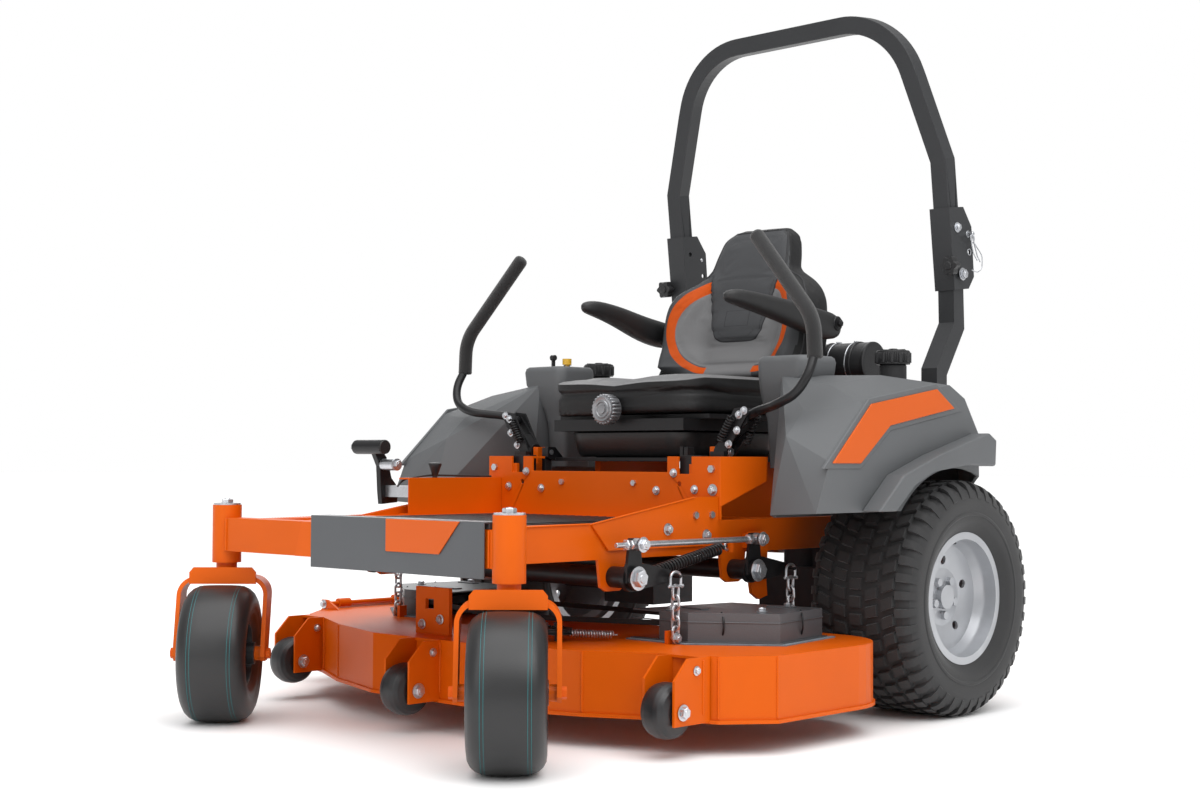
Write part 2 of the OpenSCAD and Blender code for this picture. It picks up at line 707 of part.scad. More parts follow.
module seat_platform() placed() {
    z0 = seat_hinge_z - 24;
    color(black) difference() {
        union() {
            block(-240, 240, -430, 20, z0 + face_gap, z0 + 10);
            block(-150, 150, -360, -60, z0 + 10, z0 + 36);
            for (s = [-1, 1]) side_plate(s*240 - 5, s*240 + 5)
                polygon([[seat_hinge_y - 14, seat_hinge_z - 14], [seat_hinge_y - 14, seat_hinge_z + 14],
                    [seat_hinge_y + 14, seat_hinge_z + 14], [-400, z0 + 10], [-400, z0 + face_gap],
                    [seat_hinge_y + 14, z0 + face_gap]]);
        }
        for (s = [-1, 1]) {
            zcyl(24 + 2*run_fit, s*post_x, -210, z0 - 10, z0 + 40);
            xcyl(14 + 2*run_fit, s*240 - 6, s*240 + 6, seat_hinge_y, seat_hinge_z);
        }
    }
}
module seat_suspension() placed() {
    z0 = cushion_z - 12 - face_gap;
    skirt_low = 708;
    color(black) {
        difference() {
            block(-230, 230, -440, 10, skirt_low, z0);
            block(-222, 222, -432, 2, skirt_low - 1, z0 - 12);
        }
        block(-arm_plate_x, arm_plate_x, -380, 60, z0, z0 + 12);
        for (s = [-1, 1]) zcyl(24, s*post_x, -210, seat_hinge_z - 10, z0);
        // side plates that carry the seat back and the armrests
        both() {
            side_plate(arm_plate_x, arm_plate_x + 6)
                polygon([[20, z0], [60, z0], [118, armrest_z - 20], [118, armrest_z + 20],
                    [80, armrest_z + 26], [62, armrest_z - 10], [20, z0 + 60]]);
            xcyl(14, arm_plate_x + 6, arm_plate_x + 66, armrest_y, armrest_z);
        }
    }
}
module rounded_outline(x0, x1, y0, y1, r) {
    translate([x0 + r, y0]) square([x1 - x0 - 2*r, y1 - y0]);
    translate([x0, y0 + r]) square([x1 - x0, y1 - y0 - 2*r]);
    for (x = [x0 + r, x1 - r]) for (y = [y0 + r, y1 - r]) translate([x, y]) circle(r = r);
}
module seat_cushion() placed() {
    color(charcoal) intersection() {
        translate([0, 0, cushion_z]) linear_extrude(cushion_t)
            rounded_outline(-seat_x, seat_x, -455, 20, 60);
        side_plate(-seat_x, seat_x)
            polygon([[-448, cushion_z], [20, cushion_z], [20, cushion_z + cushion_t],
                [-300, cushion_z + cushion_t], [-440, cushion_z + cushion_t - 14], [-455, cushion_z + 70],
                [-455, cushion_z + 8]]);
    }
}
// Outline of the seat back from the front, with its narrow head.
function back_outline() = concat(arc(seat_x - 60, 922, 60, -90, 0, 4), [[seat_x, 1055], [seat_x - 30, 1110],
    [150, 1240]], arc(100, back_top - 40, 40, 0, 90, 3),
    flipped(arc(100, back_top - 40, 40, 0, 90, 3)), [[-150, 1240], [-seat_x + 30, 1110], [-seat_x, 1055]],
    flipped(arc(seat_x - 60, 922, 60, -90, 0, 4)));
module seat_back() placed() {
    color(charcoal) intersection() {
        face_plate(-60, 300) polygon(back_outline());
        side_plate(-seat_x, seat_x)
            polygon([[-12, cushion_z + cushion_t + face_gap], [24, 900], [50, 958], [72, 1086],
                [150, back_top], [236, back_top], [170, 1086], [140, 958],
                [100, cushion_z + cushion_t + face_gap]]);
    }
}
module seat_knob() placed() {
    y0 = -455 - face_gap;
    color([0.5, 0.5, 0.5]) {
        ycyl(70, 0, y0 - 40, y0 - 4, cushion_z + 12);
        for (a = [0:40:320]) translate([0, 0, cushion_z + 12]) rotate([0, a, 0])
            ycyl(12, 33, y0 - 36, y0 - 8, 0);
        ycyl(20, 0, y0 - 44, y0, cushion_z + 12);
    }
}
module armrest() {
    x0 = arm_plate_x + 8;
    color(black) difference() {
        union() {
            hull() {
                xcyl(50, x0, x0 + 48, armrest_y - 40, armrest_z + 2);
                xcyl(46, x0, x0 + 48, 10, armrest_z + 14);
            }
            hull() {
                xcyl(46, x0, x0 + 48, 10, armrest_z + 14);
                xcyl(42, x0 - 40, x0 + 8, -280, armrest_z + 60);
            }
            hull() {
                xcyl(46, x0, x0 + 24, armrest_y, armrest_z);
                xcyl(50, x0, x0 + 24, armrest_y - 40, armrest_z + 2);
            }
        }
        xcyl(14 + 2*run_fit, x0 - 1, x0 + 60, armrest_y, armrest_z);
    }
}
module armrest_left() placed() { armrest(); }
module armrest_right() placed() { mirror([1, 0, 0]) armrest(); }

// ---- roll hoop ----

module hoop_tilt() {
    translate([0, hoop_pivot_y, hoop_pivot_z]) rotate([hoop_lean, 0, 0])
        translate([0, -hoop_pivot_y, -hoop_pivot_z]) children();
}
module rops_posts() placed() {
    t = 6;
    side = hoop_t/2 + 0.6;
    color(charcoal) {
        both() {
            side_plate(hoop_x - hoop_t/2, hoop_x + hoop_t/2)
                polygon([[292, rail_top - 40], [342, rail_top - 40], [342, 868], [432, 1000],
                    [427, hoop_pivot_z - 28], [377, hoop_pivot_z - 28], [380, 1016], [292, 886]]);
            block(rail_x + 8, hoop_x - hoop_t/2, 292, 342, rail_top - 40, rail_top + 100);
        }
        // folding brackets round the hoop's feet
        difference() {
            both() hoop_tilt() {
                for (s = [-1, 1]) side_plate(hoop_x + s*(side + t/2) - t/2, hoop_x + s*(side + t/2) + t/2)
                    polygon([[373, hoop_pivot_z - 42], [440, hoop_pivot_z - 42], [472, hoop_pivot_z - 10],
                        [476, hoop_pivot_z + 130], [440, hoop_pivot_z + 186], [373, hoop_pivot_z + 186]]);
                block(hoop_x - side - t, hoop_x + side + t, 367, 373, hoop_pivot_z - 42, hoop_pivot_z + 186);
            }
            both() hoop_tilt() {
                for (p = [[400, 130], [455, 60], [455, 110]])
                    xcyl(14, hoop_x - 50, hoop_x + 50, p[0], hoop_pivot_z + p[1]);
                xcyl(16, hoop_x - 50, hoop_x + 50, hoop_pivot_y, hoop_pivot_z);
            }
        }
        both() xcyl(16, hoop_x - side - t - 8, hoop_x + side + t + 8, hoop_pivot_y, hoop_pivot_z);
    }
}
// One side of the hoop tube's outline, from the foot up to the top bar, at distance w from its middle.
function hoop_half(w) = concat(
    [[hoop_x + w, hoop_pivot_z - hoop_t/2], [hoop_x + w, hoop_knee_z + w*tan(hoop_slant/2)]],
    arc(hoop_bend_x, hoop_bend_z, hoop_bend_r + w, hoop_slant, 90, 16));
hoop_slant = 17;
hoop_bend_r = 225;
hoop_bend_x = 190;
hoop_bend_z = hoop_top - hoop_t/2 - hoop_bend_r;
hoop_knee_z = hoop_bend_z + hoop_bend_r*sin(hoop_slant)
    - (hoop_x - hoop_bend_x - hoop_bend_r*cos(hoop_slant))/tan(hoop_slant);
module rops_hoop() placed() {
    wall = hoop_t/2;
    low = hoop_pivot_z - wall;
    color(charcoal) difference() {
        hoop_tilt() translate([0, hoop_pivot_y, 0]) intersection() {
            face_plate(-wall, wall) difference() {
                polygon(concat(hoop_half(wall), flipped(hoop_half(wall))));
                polygon(concat([[hoop_x - wall, low - 1]], hoop_half(-wall), flipped(hoop_half(-wall)),
                    [[wall - hoop_x, low - 1]]));
            }
            // the feet have cut corners
            side_plate(-hoop_x - hoop_t, hoop_x + hoop_t)
                polygon([[-wall - 1, hoop_top + 1], [-wall - 1, low + 16], [-wall + 16, low - 1],
                    [wall - 16, low - 1], [wall + 1, low + 16], [wall + 1, hoop_top + 1]]);
        }
        both() xcyl(16 + 2*run_fit, hoop_x - hoop_t, hoop_x + hoop_t, hoop_pivot_y, hoop_pivot_z);
    }
}

// ---- deck ----

function deck_half(d) = [[200 - 0.3*d, nose_y + d], [430 - 0.3*d, nose_y + 75 + d],
    [600 - 0.3*d, nose_y + 160 + d], [deck_x - 82 - 0.5*d, nose_y + 200 + d],
    [deck_x - d, nose_y + 300 + 0.5*d], [deck_x - d, deck_rear_y - corner_r]];
function deck_edge(d) = concat(deck_half(d),
    arc(deck_x - corner_r, deck_rear_y - corner_r, corner_r - d, 10, 90, 8),
    [[430 + 0.3*d, deck_rear_y - d], [230, deck_rear_y - 150 - d]]);
function deck_outline(d) = concat(deck_edge(d), flipped(deck_edge(d)));

module roller_bracket(x, y, back) {
    half = roller_w/2 + 4;
    reach = 26;
    for (s = [-1, 1]) side_plate(x + s*(half + 3) - 3, x + s*(half + 3) + 3)
        polygon([[y - reach, deck_z + 4], [back, deck_z + 4], [back, deck_top], [y + 18, deck_top],
            [y - reach, deck_top - 44]]);
    block(x - half - 6, x + half + 6, y + roller_d/2 + 2, back, deck_top - 6, deck_top);
    xcyl(16, x - half - 6, x + half + 6, y, roller_z);
    for (s = [-1, 1]) translate([x + s*(half + 6), y, roller_z]) rotate([0, s*90, 0]) hex_head(24, 8);
}
module deck_shell() placed() {
    color(orange) {
        difference() {
            union() {
                translate([0, 0, deck_z]) linear_extrude(deck_h) polygon(deck_outline(0));
                translate([0, 0, deck_z]) linear_extrude(8) polygon(deck_outline(-5));
            }
            translate([0, 0, deck_z - 1]) linear_extrude(deck_h - deck_t + 1) polygon(deck_outline(deck_t));
            // discharge opening in the right side
            block(-deck_x - 10, -deck_x + 20, chute_y0 + 10, chute_y1 - 10, deck_z + 10, deck_top - 12);
            for (s = [-1, 1]) zcyl(92, s*spindle_x, outer_spindle_y, deck_top - 20, deck_top + 1);
            zcyl(92, 0, center_spindle_y, deck_top - 20, deck_top + 1);
        }
        roller_bracket(roller_x, roller_y, -896);
        mirror([1, 0, 0]) roller_bracket(roller_x, roller_y, -896);
        roller_bracket(0, center_roller_y, nose_y + 3);
        // chute hinge ears
        for (y = [chute_y0 - 8, chute_y1]) difference() {
            face_plate(y, y + 8)
                polygon([[-deck_x + 30, deck_top - 1], [chute_hinge_x - 12, chute_hinge_z - 10],
                    [chute_hinge_x - 12, chute_hinge_z + 12], [chute_hinge_x + 12, chute_hinge_z + 12],
                    [-deck_x + 60, deck_top - 1]]);
            ycyl(12, chute_hinge_x, y - 1, y + 9, chute_hinge_z);
        }
        ycyl(12, chute_hinge_x, chute_y0 - 10, chute_y1 + 10, chute_hinge_z);
        // chain anchors
        both() for (y = [front_shaft_y, rear_shaft_y])
            block(chain_x - 22, chain_x - 12, y + lift_arm - 18, y + lift_arm + 6,
                deck_top - 1, deck_top + 30);
        // front hanger plate with a square window
        difference() {
            block(-130, -10, -1010, -1000, deck_top - 1, deck_top + 112);
            block(-95, -65, -1011, -999, deck_top + 60, deck_top + 84);
        }
    }
}
function cover_points(d) = [[330, -735 + d], [500 - 0.4*d, -735 + d], [668 - d, -610], [632 - d, -400 - d],
    [380, -430 - d]];
module belt_covers() placed() {
    z1 = deck_top + 70;
    color(charcoal) both() difference() {
        translate([0, 0, deck_top]) linear_extrude(z1 - deck_top) polygon(cover_points(0));
        translate([0, 0, deck_top - 1]) linear_extrude(z1 - deck_top - 2) polygon(cover_points(4));
        block(300, 412, -740, -436, deck_top - 1, z1 - 3);
    }
}
module spindle_rest() {
    color([0.2, 0.2, 0.21]) difference() {
        union() {
            zcyl(90, 0, 0, deck_top - 70, deck_top + 30);
            zcyl(160, 0, 0, deck_top, deck_top + 10);
        }
        zcyl(spindle_d + 2*run_fit, 0, 0, deck_top - 71, deck_top + 31);
    }
}
module at_spindle(side) {
    translate([side*spindle_x, outer_spindle_y - (side == 0 ? spindle_lead : 0), 0]) children();
}
module spindles() placed() { for (s = [-1, 0, 1]) at_spindle(s) spindle_rest(); }

pulley_z = deck_top + 30 + face_gap;
pulley_r = 75;
module deck_belt() placed() {
    color(black) translate([0, 0, pulley_z + 4]) linear_extrude(12) difference() {
        hull() for (s = [-1, 0, 1]) at_spindle(s) circle(r = pulley_r + 6 + face_gap);
        hull() for (s = [-1, 0, 1]) at_spindle(s) circle(r = pulley_r - 2 + face_gap);
    }
}
module blade(turn) {
    blade_z = deck_z + 21;
    color([0.18, 0.18, 0.19]) rotate([0, 0, turn]) {
        translate([0, 0, blade_z]) linear_extrude(7)
            polygon([[-blade_len/2, -28], [blade_len/2 - 90, -28], [blade_len/2, -12], [blade_len/2, 28],
                [-blade_len/2 + 90, 28], [-blade_len/2, 12]]);
        // upturned wings at the trailing edges
        for (s = [0, 180]) rotate([0, 0, s])
            side_plate(-blade_len/2 + 4, -blade_len/2 + 84)
                polygon([[-26, blade_z + 5], [-15, blade_z + 5], [-21, blade_z + 19], [-27, blade_z + 18]]);
    }
    color(silver) {
        zcyl(spindle_d, 0, 0, blade_z - 2, pulley_z + 28);
        translate([0, 0, blade_z - 8]) hex_head(34, 9);
        zcyl(44, 0, 0, blade_z + 6, deck_top - 70 - face_gap);
    }
    color(black) {
        zcyl(2*pulley_r, 0, 0, pulley_z, pulley_z + 3);
        zcyl(2*pulley_r - 4, 0, 0, pulley_z + 2, pulley_z + 18);
        zcyl(2*pulley_r, 0, 0, pulley_z + 17, pulley_z + 20);
    }
}
module blade_left() placed() { at_spindle(1) blade(20); }
module blade_center() placed() { at_spindle(0) blade(20); }
module blade_right() placed() { at_spindle(-1) blade(20); }

module roller(x, y) {
    w = roller_w/2;
    r = roller_d/2;
    color(black) translate([x, y, roller_z]) rotate([0, 90, 0]) rotate_extrude($fn = 64)
        polygon([[8 + run_fit, -w], [r - 26, -w], [r - 12, -w + 4], [r - 4, -w + 12], [r, -w + 26],
            [r, w - 26], [r - 4, w - 12], [r - 12, w - 4], [r - 26, w], [8 + run_fit, w]]);
}
module roller_left() placed() { roller(roller_x, roller_y); }
module roller_right() placed() { roller(-roller_x, roller_y); }
module roller_center() placed() { roller(0, center_roller_y); }

module chute() placed() {
    color(orange) difference() {
        union() {
            translate([chute_hinge_x, 0, chute_hinge_z]) rotate([0, -chute_slope, 0])
                block(-chute_reach, -9, chute_y0 + 2, chute_y1 - 2, -4, 0);
            for (y = [chute_y0 + 2, chute_y1 - 6]) translate([chute_hinge_x, 0, chute_hinge_z])
                rotate([0, -chute_slope, 0]) face_plate(y, y + 4)
                    polygon([[-chute_reach, 0], [-20, 0], [-22, -34], [-chute_reach, -60]]);
            for (y = [chute_y0 + 40, chute_y1 - 80]) ycyl(26, chute_hinge_x, y, y + 40, chute_hinge_z);
        }
        ycyl(12 + 2*run_fit, chute_hinge_x, chute_y0 - 20, chute_y1 + 20, chute_hinge_z);
    }
}

// ---- deck lift ----

// One lift shaft across the frame with an arm to the chain and an arm to the link rod.
module lift_shaft(y) {
    color(black) {
        xcyl(lift_shaft_d, -lift_side_x, lift_side_x, y, lift_z);
        both() {
            side_plate(lift_side_x, lift_side_x + 8)
                polygon([[y - 26, lift_z - 10], [y, lift_z - 28], [y + lift_arm, lift_z - 14],
                    [y + lift_arm + 14, lift_z], [y + lift_arm, lift_z + 14], [y + 30, lift_z + 32],
                    [y - 26, lift_z + 32]]);
            xcyl(8, lift_side_x + 8, chain_x + 10, y + lift_arm, lift_z);
            xcyl(62, lift_side_x - 12, lift_side_x, y, lift_z);
        }
        side_plate(lift_side_x, lift_side_x + 8)
            polygon([[y - 26, lift_z + 20], [y + 26, lift_z + 20], [y + 16, lift_z + link_arm + 14],
                [y - 16, lift_z + link_arm + 14]]);
        xcyl(12, lift_side_x + 8, lift_side_x + 24, y, lift_z + link_arm);
        xcyl(50, lift_side_x + 8, lift_side_x + 18, y, lift_z);
    }
}
module lift_shaft_front() placed() { lift_shaft(front_shaft_y); }
module lift_shaft_rear() placed() { lift_shaft(rear_shaft_y); }
module lift_rod() placed() {
    x = lift_side_x + 16 + face_gap;
    z = lift_z + link_arm;
    color(silver) {
        ycyl(14, x, front_shaft_y + 10, rear_shaft_y - 10, z);
        for (y = [front_shaft_y, rear_shaft_y]) difference() {
            xcyl(28, x - 8, x + 8, y, z);
            xcyl(12 + 2*(y == front_shaft_y ? face_gap : run_fit), x - 9, x + 9, y, z);
        }
        ycyl(15, x, front_shaft_y - 44, front_shaft_y - 13, z);
    }
}
// A shackle that hangs on the arm's pin and a short run of links down to the deck.
module chain(y) {
    wire = 7;
    half = 18;
    low = deck_top + 14;
    high = lift_z + 4 + 2*face_gap + wire;
    foot = lift_z - 26;
    links = floor((foot - low - 4)/34);
    pitch = (foot - low)/links;
    translate([chain_x, y + lift_arm - chain_lag, 0]) {
        for (s = [-1, 1]) block(-wire/2, wire/2, s*half - wire/2, s*half + wire/2, foot, high);
        block(-wire/2, wire/2, -half - wire/2, half + wire/2, high - wire, high);
        block(-wire/2, wire/2, -half - wire/2, half + wire/2, foot - wire/2, foot + wire/2);
        for (i = [0:links - 1]) {
            block(-9, 9, -wire/2, wire/2, low + i*pitch, low + (i + 0.55)*pitch);
            block(-wire/2, wire/2, -9, 9, low + (i + 0.45)*pitch, low + (i + 1)*pitch);
        }
        xcyl(10, -12, 8, 0, low);
    }
}
module lift_chains() placed() { color(silver) both() for (y = [front_shaft_y, rear_shaft_y]) chain(y); }
module lift_springs() placed() {
    x = lift_side_x - 13.5;
    color(black) both() bar([x, front_shaft_y + 46, lift_z + 2], [x, -531, rail_z + 20], 26);
}
module lift_pedal() placed() {
    color(black) {
        difference() {
            side_plate(pedal_x - 8, pedal_x + 8)
                polygon([[pedal_y - 26, pedal_z - 34], [pedal_y + 26, pedal_z - 30],
                    [pedal_y + 30, pedal_z + 8], [pedal_y + 6, pedal_z + 34], [pedal_y - 8, pedal_z + 84],
                    [pedal_y - 36, pedal_z + 120], [pedal_y - 56, pedal_z + 110],
                    [pedal_y - 34, pedal_z + 66], [pedal_y - 30, pedal_z]]);
            xcyl(20 + 2*run_fit, pedal_x - 9, pedal_x + 9, pedal_y, pedal_z);
        }
        xcyl(38, pedal_x - 70, pedal_x + 40, pedal_y - 46, pedal_z + 116);
        xcyl(30, pedal_x + 8, pedal_x + 62, pedal_y - 22, pedal_z + 70);
    }
}

// ---- hardware ----

module frame_bolts() placed() {
    color(silver) {
        // bolts on the control plate
        for (s = [-1, 1]) translate([0, -plate_y, 0]) rotate([90, 0, 0]) {
            translate([s*128, plate_top - 67, 0]) hex_head(16, 6);
            translate([s*385, plate_top - 30, 0]) hex_head(20, 7);
        }
        translate([372, -plate_y, rail_top + 20]) rotate([90, 0, 0]) hex_head(16, 6);
        // caps of the caster barrels
        both() zcyl(barrel_d - 4, caster_x, front_y, barrel_top, barrel_top + 4);
        // square bar and pin that carry the lift pedal
        block(pedal_x + 8 + face_gap, -rail_x + 36, pedal_y - 15, pedal_y + 15, pedal_z - 15, pedal_z + 15);
        xcyl(20, pedal_x - 14, pedal_x + 8 + face_gap, pedal_y, pedal_z);
        translate([pedal_x - 8 - face_gap, pedal_y, pedal_z]) rotate([0, -90, 0]) hex_head(32, 8);
        // seat hinge pins on their ears
        for (s = [-1, 1]) {
            block(s*253 - 6, s*253 + 6, seat_hinge_y - 12, seat_hinge_y + 12, rail_top, seat_hinge_z + 12);
            xcyl(14, min(s*234, s*250), max(s*234, s*250), seat_hinge_y, seat_hinge_z);
        }
        // lever pivot shafts
        both() xcyl(20, 324, 352, lever_pivot_y, lever_pivot_z);
        both() for (y = [-540, -600]) translate([rail_x + 6, y, rail_top + 14]) rotate([0, 90, 0])
            hex_head(18, 6);
    }
}

main_frame();
front_beam();
beam_cover();
control_plate();
floor_pan();
fender_left();
fender_right();
flares();
trim_panels();
consoles();
fuel_tanks();
engine_block();
engine_shroud();
muffler();
transaxles();
rops_posts();
frame_bolts();
tyre_rear_left();
rim_rear_left();
tyre_rear_right();
rim_rear_right();
fork_left();
fork_right();
tyre_front_left();
rim_front_left();
tyre_front_right();
rim_front_right();
lever_base_left();
lever_base_right();
lever_left();
lever_right();
seat_platform();
seat_suspension();
seat_cushion();
seat_back();
seat_knob();
armrest_left();
armrest_right();
rops_hoop();
deck_shell();
belt_covers();
deck_belt();
spindles();
blade_left();
blade_center();
blade_right();
roller_left();
roller_center();
roller_right();
chute();
lift_shaft_front();
lift_shaft_rear();
lift_rod();
lift_chains();
lift_springs();
lift_pedal();
fuel_cap_left();
fuel_cap_right();
throttle_lever();
pto_knob();
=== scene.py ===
import bpy, bmesh, math, random
import numpy as np
from mathutils import Matrix, Vector
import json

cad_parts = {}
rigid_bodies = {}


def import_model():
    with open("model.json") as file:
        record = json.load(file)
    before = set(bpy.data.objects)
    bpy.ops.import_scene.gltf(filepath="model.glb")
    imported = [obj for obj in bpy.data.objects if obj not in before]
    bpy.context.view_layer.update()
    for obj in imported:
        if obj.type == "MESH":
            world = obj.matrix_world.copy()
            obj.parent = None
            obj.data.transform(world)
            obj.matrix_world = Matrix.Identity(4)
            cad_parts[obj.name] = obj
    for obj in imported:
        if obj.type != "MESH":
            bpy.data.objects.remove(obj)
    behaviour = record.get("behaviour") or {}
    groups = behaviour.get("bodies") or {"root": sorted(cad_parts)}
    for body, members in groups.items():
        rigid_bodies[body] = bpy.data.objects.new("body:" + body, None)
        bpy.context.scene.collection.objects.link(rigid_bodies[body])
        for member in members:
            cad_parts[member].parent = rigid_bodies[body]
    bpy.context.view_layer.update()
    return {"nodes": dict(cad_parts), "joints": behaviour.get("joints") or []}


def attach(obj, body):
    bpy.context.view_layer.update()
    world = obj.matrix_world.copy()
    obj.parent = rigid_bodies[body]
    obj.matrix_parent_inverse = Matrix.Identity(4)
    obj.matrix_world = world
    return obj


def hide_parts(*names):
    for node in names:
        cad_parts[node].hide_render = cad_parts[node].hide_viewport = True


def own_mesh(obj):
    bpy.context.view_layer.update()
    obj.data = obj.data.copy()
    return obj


for old in list(bpy.data.objects):
    bpy.data.objects.remove(old)
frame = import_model()
random.seed(7)
scene = bpy.context.scene

# the drive axle and the mid-plane give the origin that every mm value below is measured from
spins = [j for j in frame["joints"] if j["name"] in ("rear_wheel_left_spin", "rear_wheel_right_spin")]
originX = sum(j["pos_m"][0] for j in spins) / 2
originY = sum(j["pos_m"][1] for j in spins) / 2

def spot(x, y, z):
    return Vector((x / 1000 + originX, y / 1000 + originY, z / 1000))


# shapes: each is a pair of points in mm and faces

def boxShape(x0, x1, y0, y1, z0, z1):
    pts = [(x, y, z) for x in (x0, x1) for y in (y0, y1) for z in (z0, z1)]
    return pts, [(0, 1, 3, 2), (4, 6, 7, 5), (0, 4, 5, 1), (2, 3, 7, 6), (0, 2, 6, 4), (1, 5, 7, 3)]

def prism(outline, axis, a0, a1):
    # outline is (y, z) for axis x, (x, z) for y and (x, y) for z
    def put(p, a):
        return {"x": (a, p[0], p[1]), "y": (p[0], a, p[1]), "z": (p[0], p[1], a)}[axis]
    n = len(outline)
    pts = [put(p, a0) for p in outline] + [put(p, a1) for p in outline]
    faces = [tuple(range(n)), tuple(range(2 * n - 1, n - 1, -1))]
    return pts, faces + [(i, (i + 1) % n, n + (i + 1) % n, n + i) for i in range(n)]

def axes(direction):
    d = Vector(direction).normalized()
    side = d.cross(Vector((0, 0, 1)))
    if side.length < 1e-4:
        side = Vector((1, 0, 0))
    side.normalize()
    return side, d.cross(side).normalized(), d

def lathe(profile, origin, direction, steps=48, closed=False, turn=0.0):
    # profile is (radius, distance along the axis)
    u, v, d = axes(direction)
    o = Vector(origin)
    pts = []
    for r, t in profile:
        for i in range(steps):
            a = 2 * math.pi * i / steps + turn
            pts.append(tuple(o + d * t + (u * math.cos(a) + v * math.sin(a)) * r))
    faces = []
    rows = len(profile)
    for k in range(rows if closed else rows - 1):
        for i in range(steps):
            j = (i + 1) % steps
            m = (k + 1) % rows
            faces.append((k * steps + i, k * steps + j, m * steps + j, m * steps + i))
    if not closed:
        faces.append(tuple(range(steps - 1, -1, -1)))
        faces.append(tuple((rows - 1) * steps + i for i in range(steps)))
    return pts, faces

def rod(p, q, r, steps=24, edge=0.0):
    h = (Vector(q) - Vector(p)).length
    e = min(edge, r * 0.6, h * 0.4)
    profile = [(r - e, 0), (r, e), (r, h - e), (r - e, h)] if e > 0 else [(r, 0), (r, h)]
    return lathe(profile, p, Vector(q) - Vector(p), steps)

def hexNut(p, direction, across, height, turn=0.0):
    r = across / math.sqrt(3)
    d = Vector(direction).normalized()
    return lathe([(r * 0.93, 0), (r, height * 0.12), (r, height * 0.85), (r * 0.9, height)], p, d, 6, turn=turn)

def bolt(p, direction, across, height=None, washer=True):
    height = height or across * 0.55
    d = Vector(direction).normalized()
    base = Vector(p)
    out = []
    if washer:
        out.append(lathe([(across * 0.78, 0), (across * 0.8, 0.8), (across * 0.8, 2.0), (across * 0.7, 2.4)],
                         base, d, 24))
        base = base + d * 2.4
    out.append(hexNut(base, d, across, height, random.random()))
    out.append(rod(base + d * height * 0.9, base + d * height * 1.15, across * 0.3, 16, 0.8))
    return out

def bend(points, radius, steps=6):
    # rounds the corners of a path
    pts = [Vector(p) for p in points]
    out = [pts[0]]
    for a, b, c in zip(pts, pts[1:], pts[2:]):
        u, v = (a - b), (c - b)
        cut = min(radius, u.length * 0.48, v.length * 0.48)
        s, e = b + u.normalized() * cut, b + v.normalized() * cut
        for i in range(steps + 1):
            t = i / steps
            out.append(s * (1 - t) ** 2 + b * 2 * t * (1 - t) + e * t ** 2)
    return out + [pts[-1]]

def sweep(points, r, steps=16, square=None, cap=True):
    # a tube along a path; r may be a list; square gives a rounded square section of that half side
    pts = [Vector(p) for p in points]
    n = len(pts)
    tangents = [(pts[min(i + 1, n - 1)] - pts[max(i - 1, 0)]).normalized() for i in range(n)]
    u = axes(tangents[0])[0]
    out, faces = [], []
    for i, (p, t) in enumerate(zip(pts, tangents)):
        u = (u - t * u.dot(t)).normalized()
        v = t.cross(u)
        rr = r[i] if isinstance(r, (list, tuple)) else r
        for k in range(steps):
            a = 2 * math.pi * k / steps
            c, s = math.cos(a), math.sin(a)
            if square:
                c = math.copysign(min(1, abs(c) * square), c)
                s = math.copysign(min(1, abs(s) * square), s)
            out.append(tuple(p + (u * c + v * s) * rr))
    for i in range(n - 1):
        for k in range(steps):
            j = (k + 1) % steps
            faces.append((i * steps + k, i * steps + j, (i + 1) * steps + j, (i + 1) * steps + k))
    if cap:
        faces.append(tuple(range(steps - 1, -1, -1)))
        faces.append(tuple((n - 1) * steps + i for i in range(steps)))
    return out, faces

def coil(p, q, radius, wire, turns, hook=0.0, per=14):
    # a spring between two points, with straight hooks at its ends
    p, q = Vector(p), Vector(q)
    u, v, d = axes(q - p)
    a, b = p + d * hook, q - d * hook
    path = [p, p + d * hook * 0.5] if hook else []
    total = int(turns * per)
    for i in range(total + 1):
        w = 2 * math.pi * i / per
        path.append(a + (b - a) * (i / total) + (u * math.cos(w) + v * math.sin(w)) * radius)
    if hook:
        path += [q - d * hook * 0.5, q]
    return sweep(path, wire, 8)

def ringShape(centre, direction, radius, wire, steps=24, around=10):
    profile = [(radius + wire * math.cos(2 * math.pi * k / around),
                wire * math.sin(2 * math.pi * k / around)) for k in range(around)]
    return lathe(profile, centre, direction, steps, closed=True)

def link(centre, along, across, length, width, wire):
    # an oval chain link
    along, across = Vector(along).normalized(), Vector(across).normalized()
    half = (length - width) / 2
    path = []
    for s in (1, -1):
        for i in range(7):
            a = -math.pi / 2 + math.pi * i / 6
            path.append(Vector(centre) + along * s * (half + math.cos(a) * width / 2) + across * s * math.sin(a) * width / 2)
    out, faces = sweep(path + [path[0]], wire, 8, cap=False)
    return out, faces

def mirrored(shape):
    pts, faces = shape
    return [(-x, y, z) for x, y, z in pts], [tuple(reversed(f)) for f in faces]

def both(shapes):
    return shapes + [mirrored(s) for s in shapes]

def moved(shape, matrix):
    return [tuple(matrix @ Vector(p)) for p in shape[0]], shape[1]

def roundRect(x0, x1, z0, z1, r, n=5):
    out = []
    for cx, cz, a0 in ((x1 - r, z0 + r, -90), (x1 - r, z1 - r, 0), (x0 + r, z1 - r, 90), (x0 + r, z0 + r, 180)):
        for i in range(n + 1):
            a = math.radians(a0 + 90 * i / n)
            out.append((cx + r * math.cos(a), cz + r * math.sin(a)))
    return out


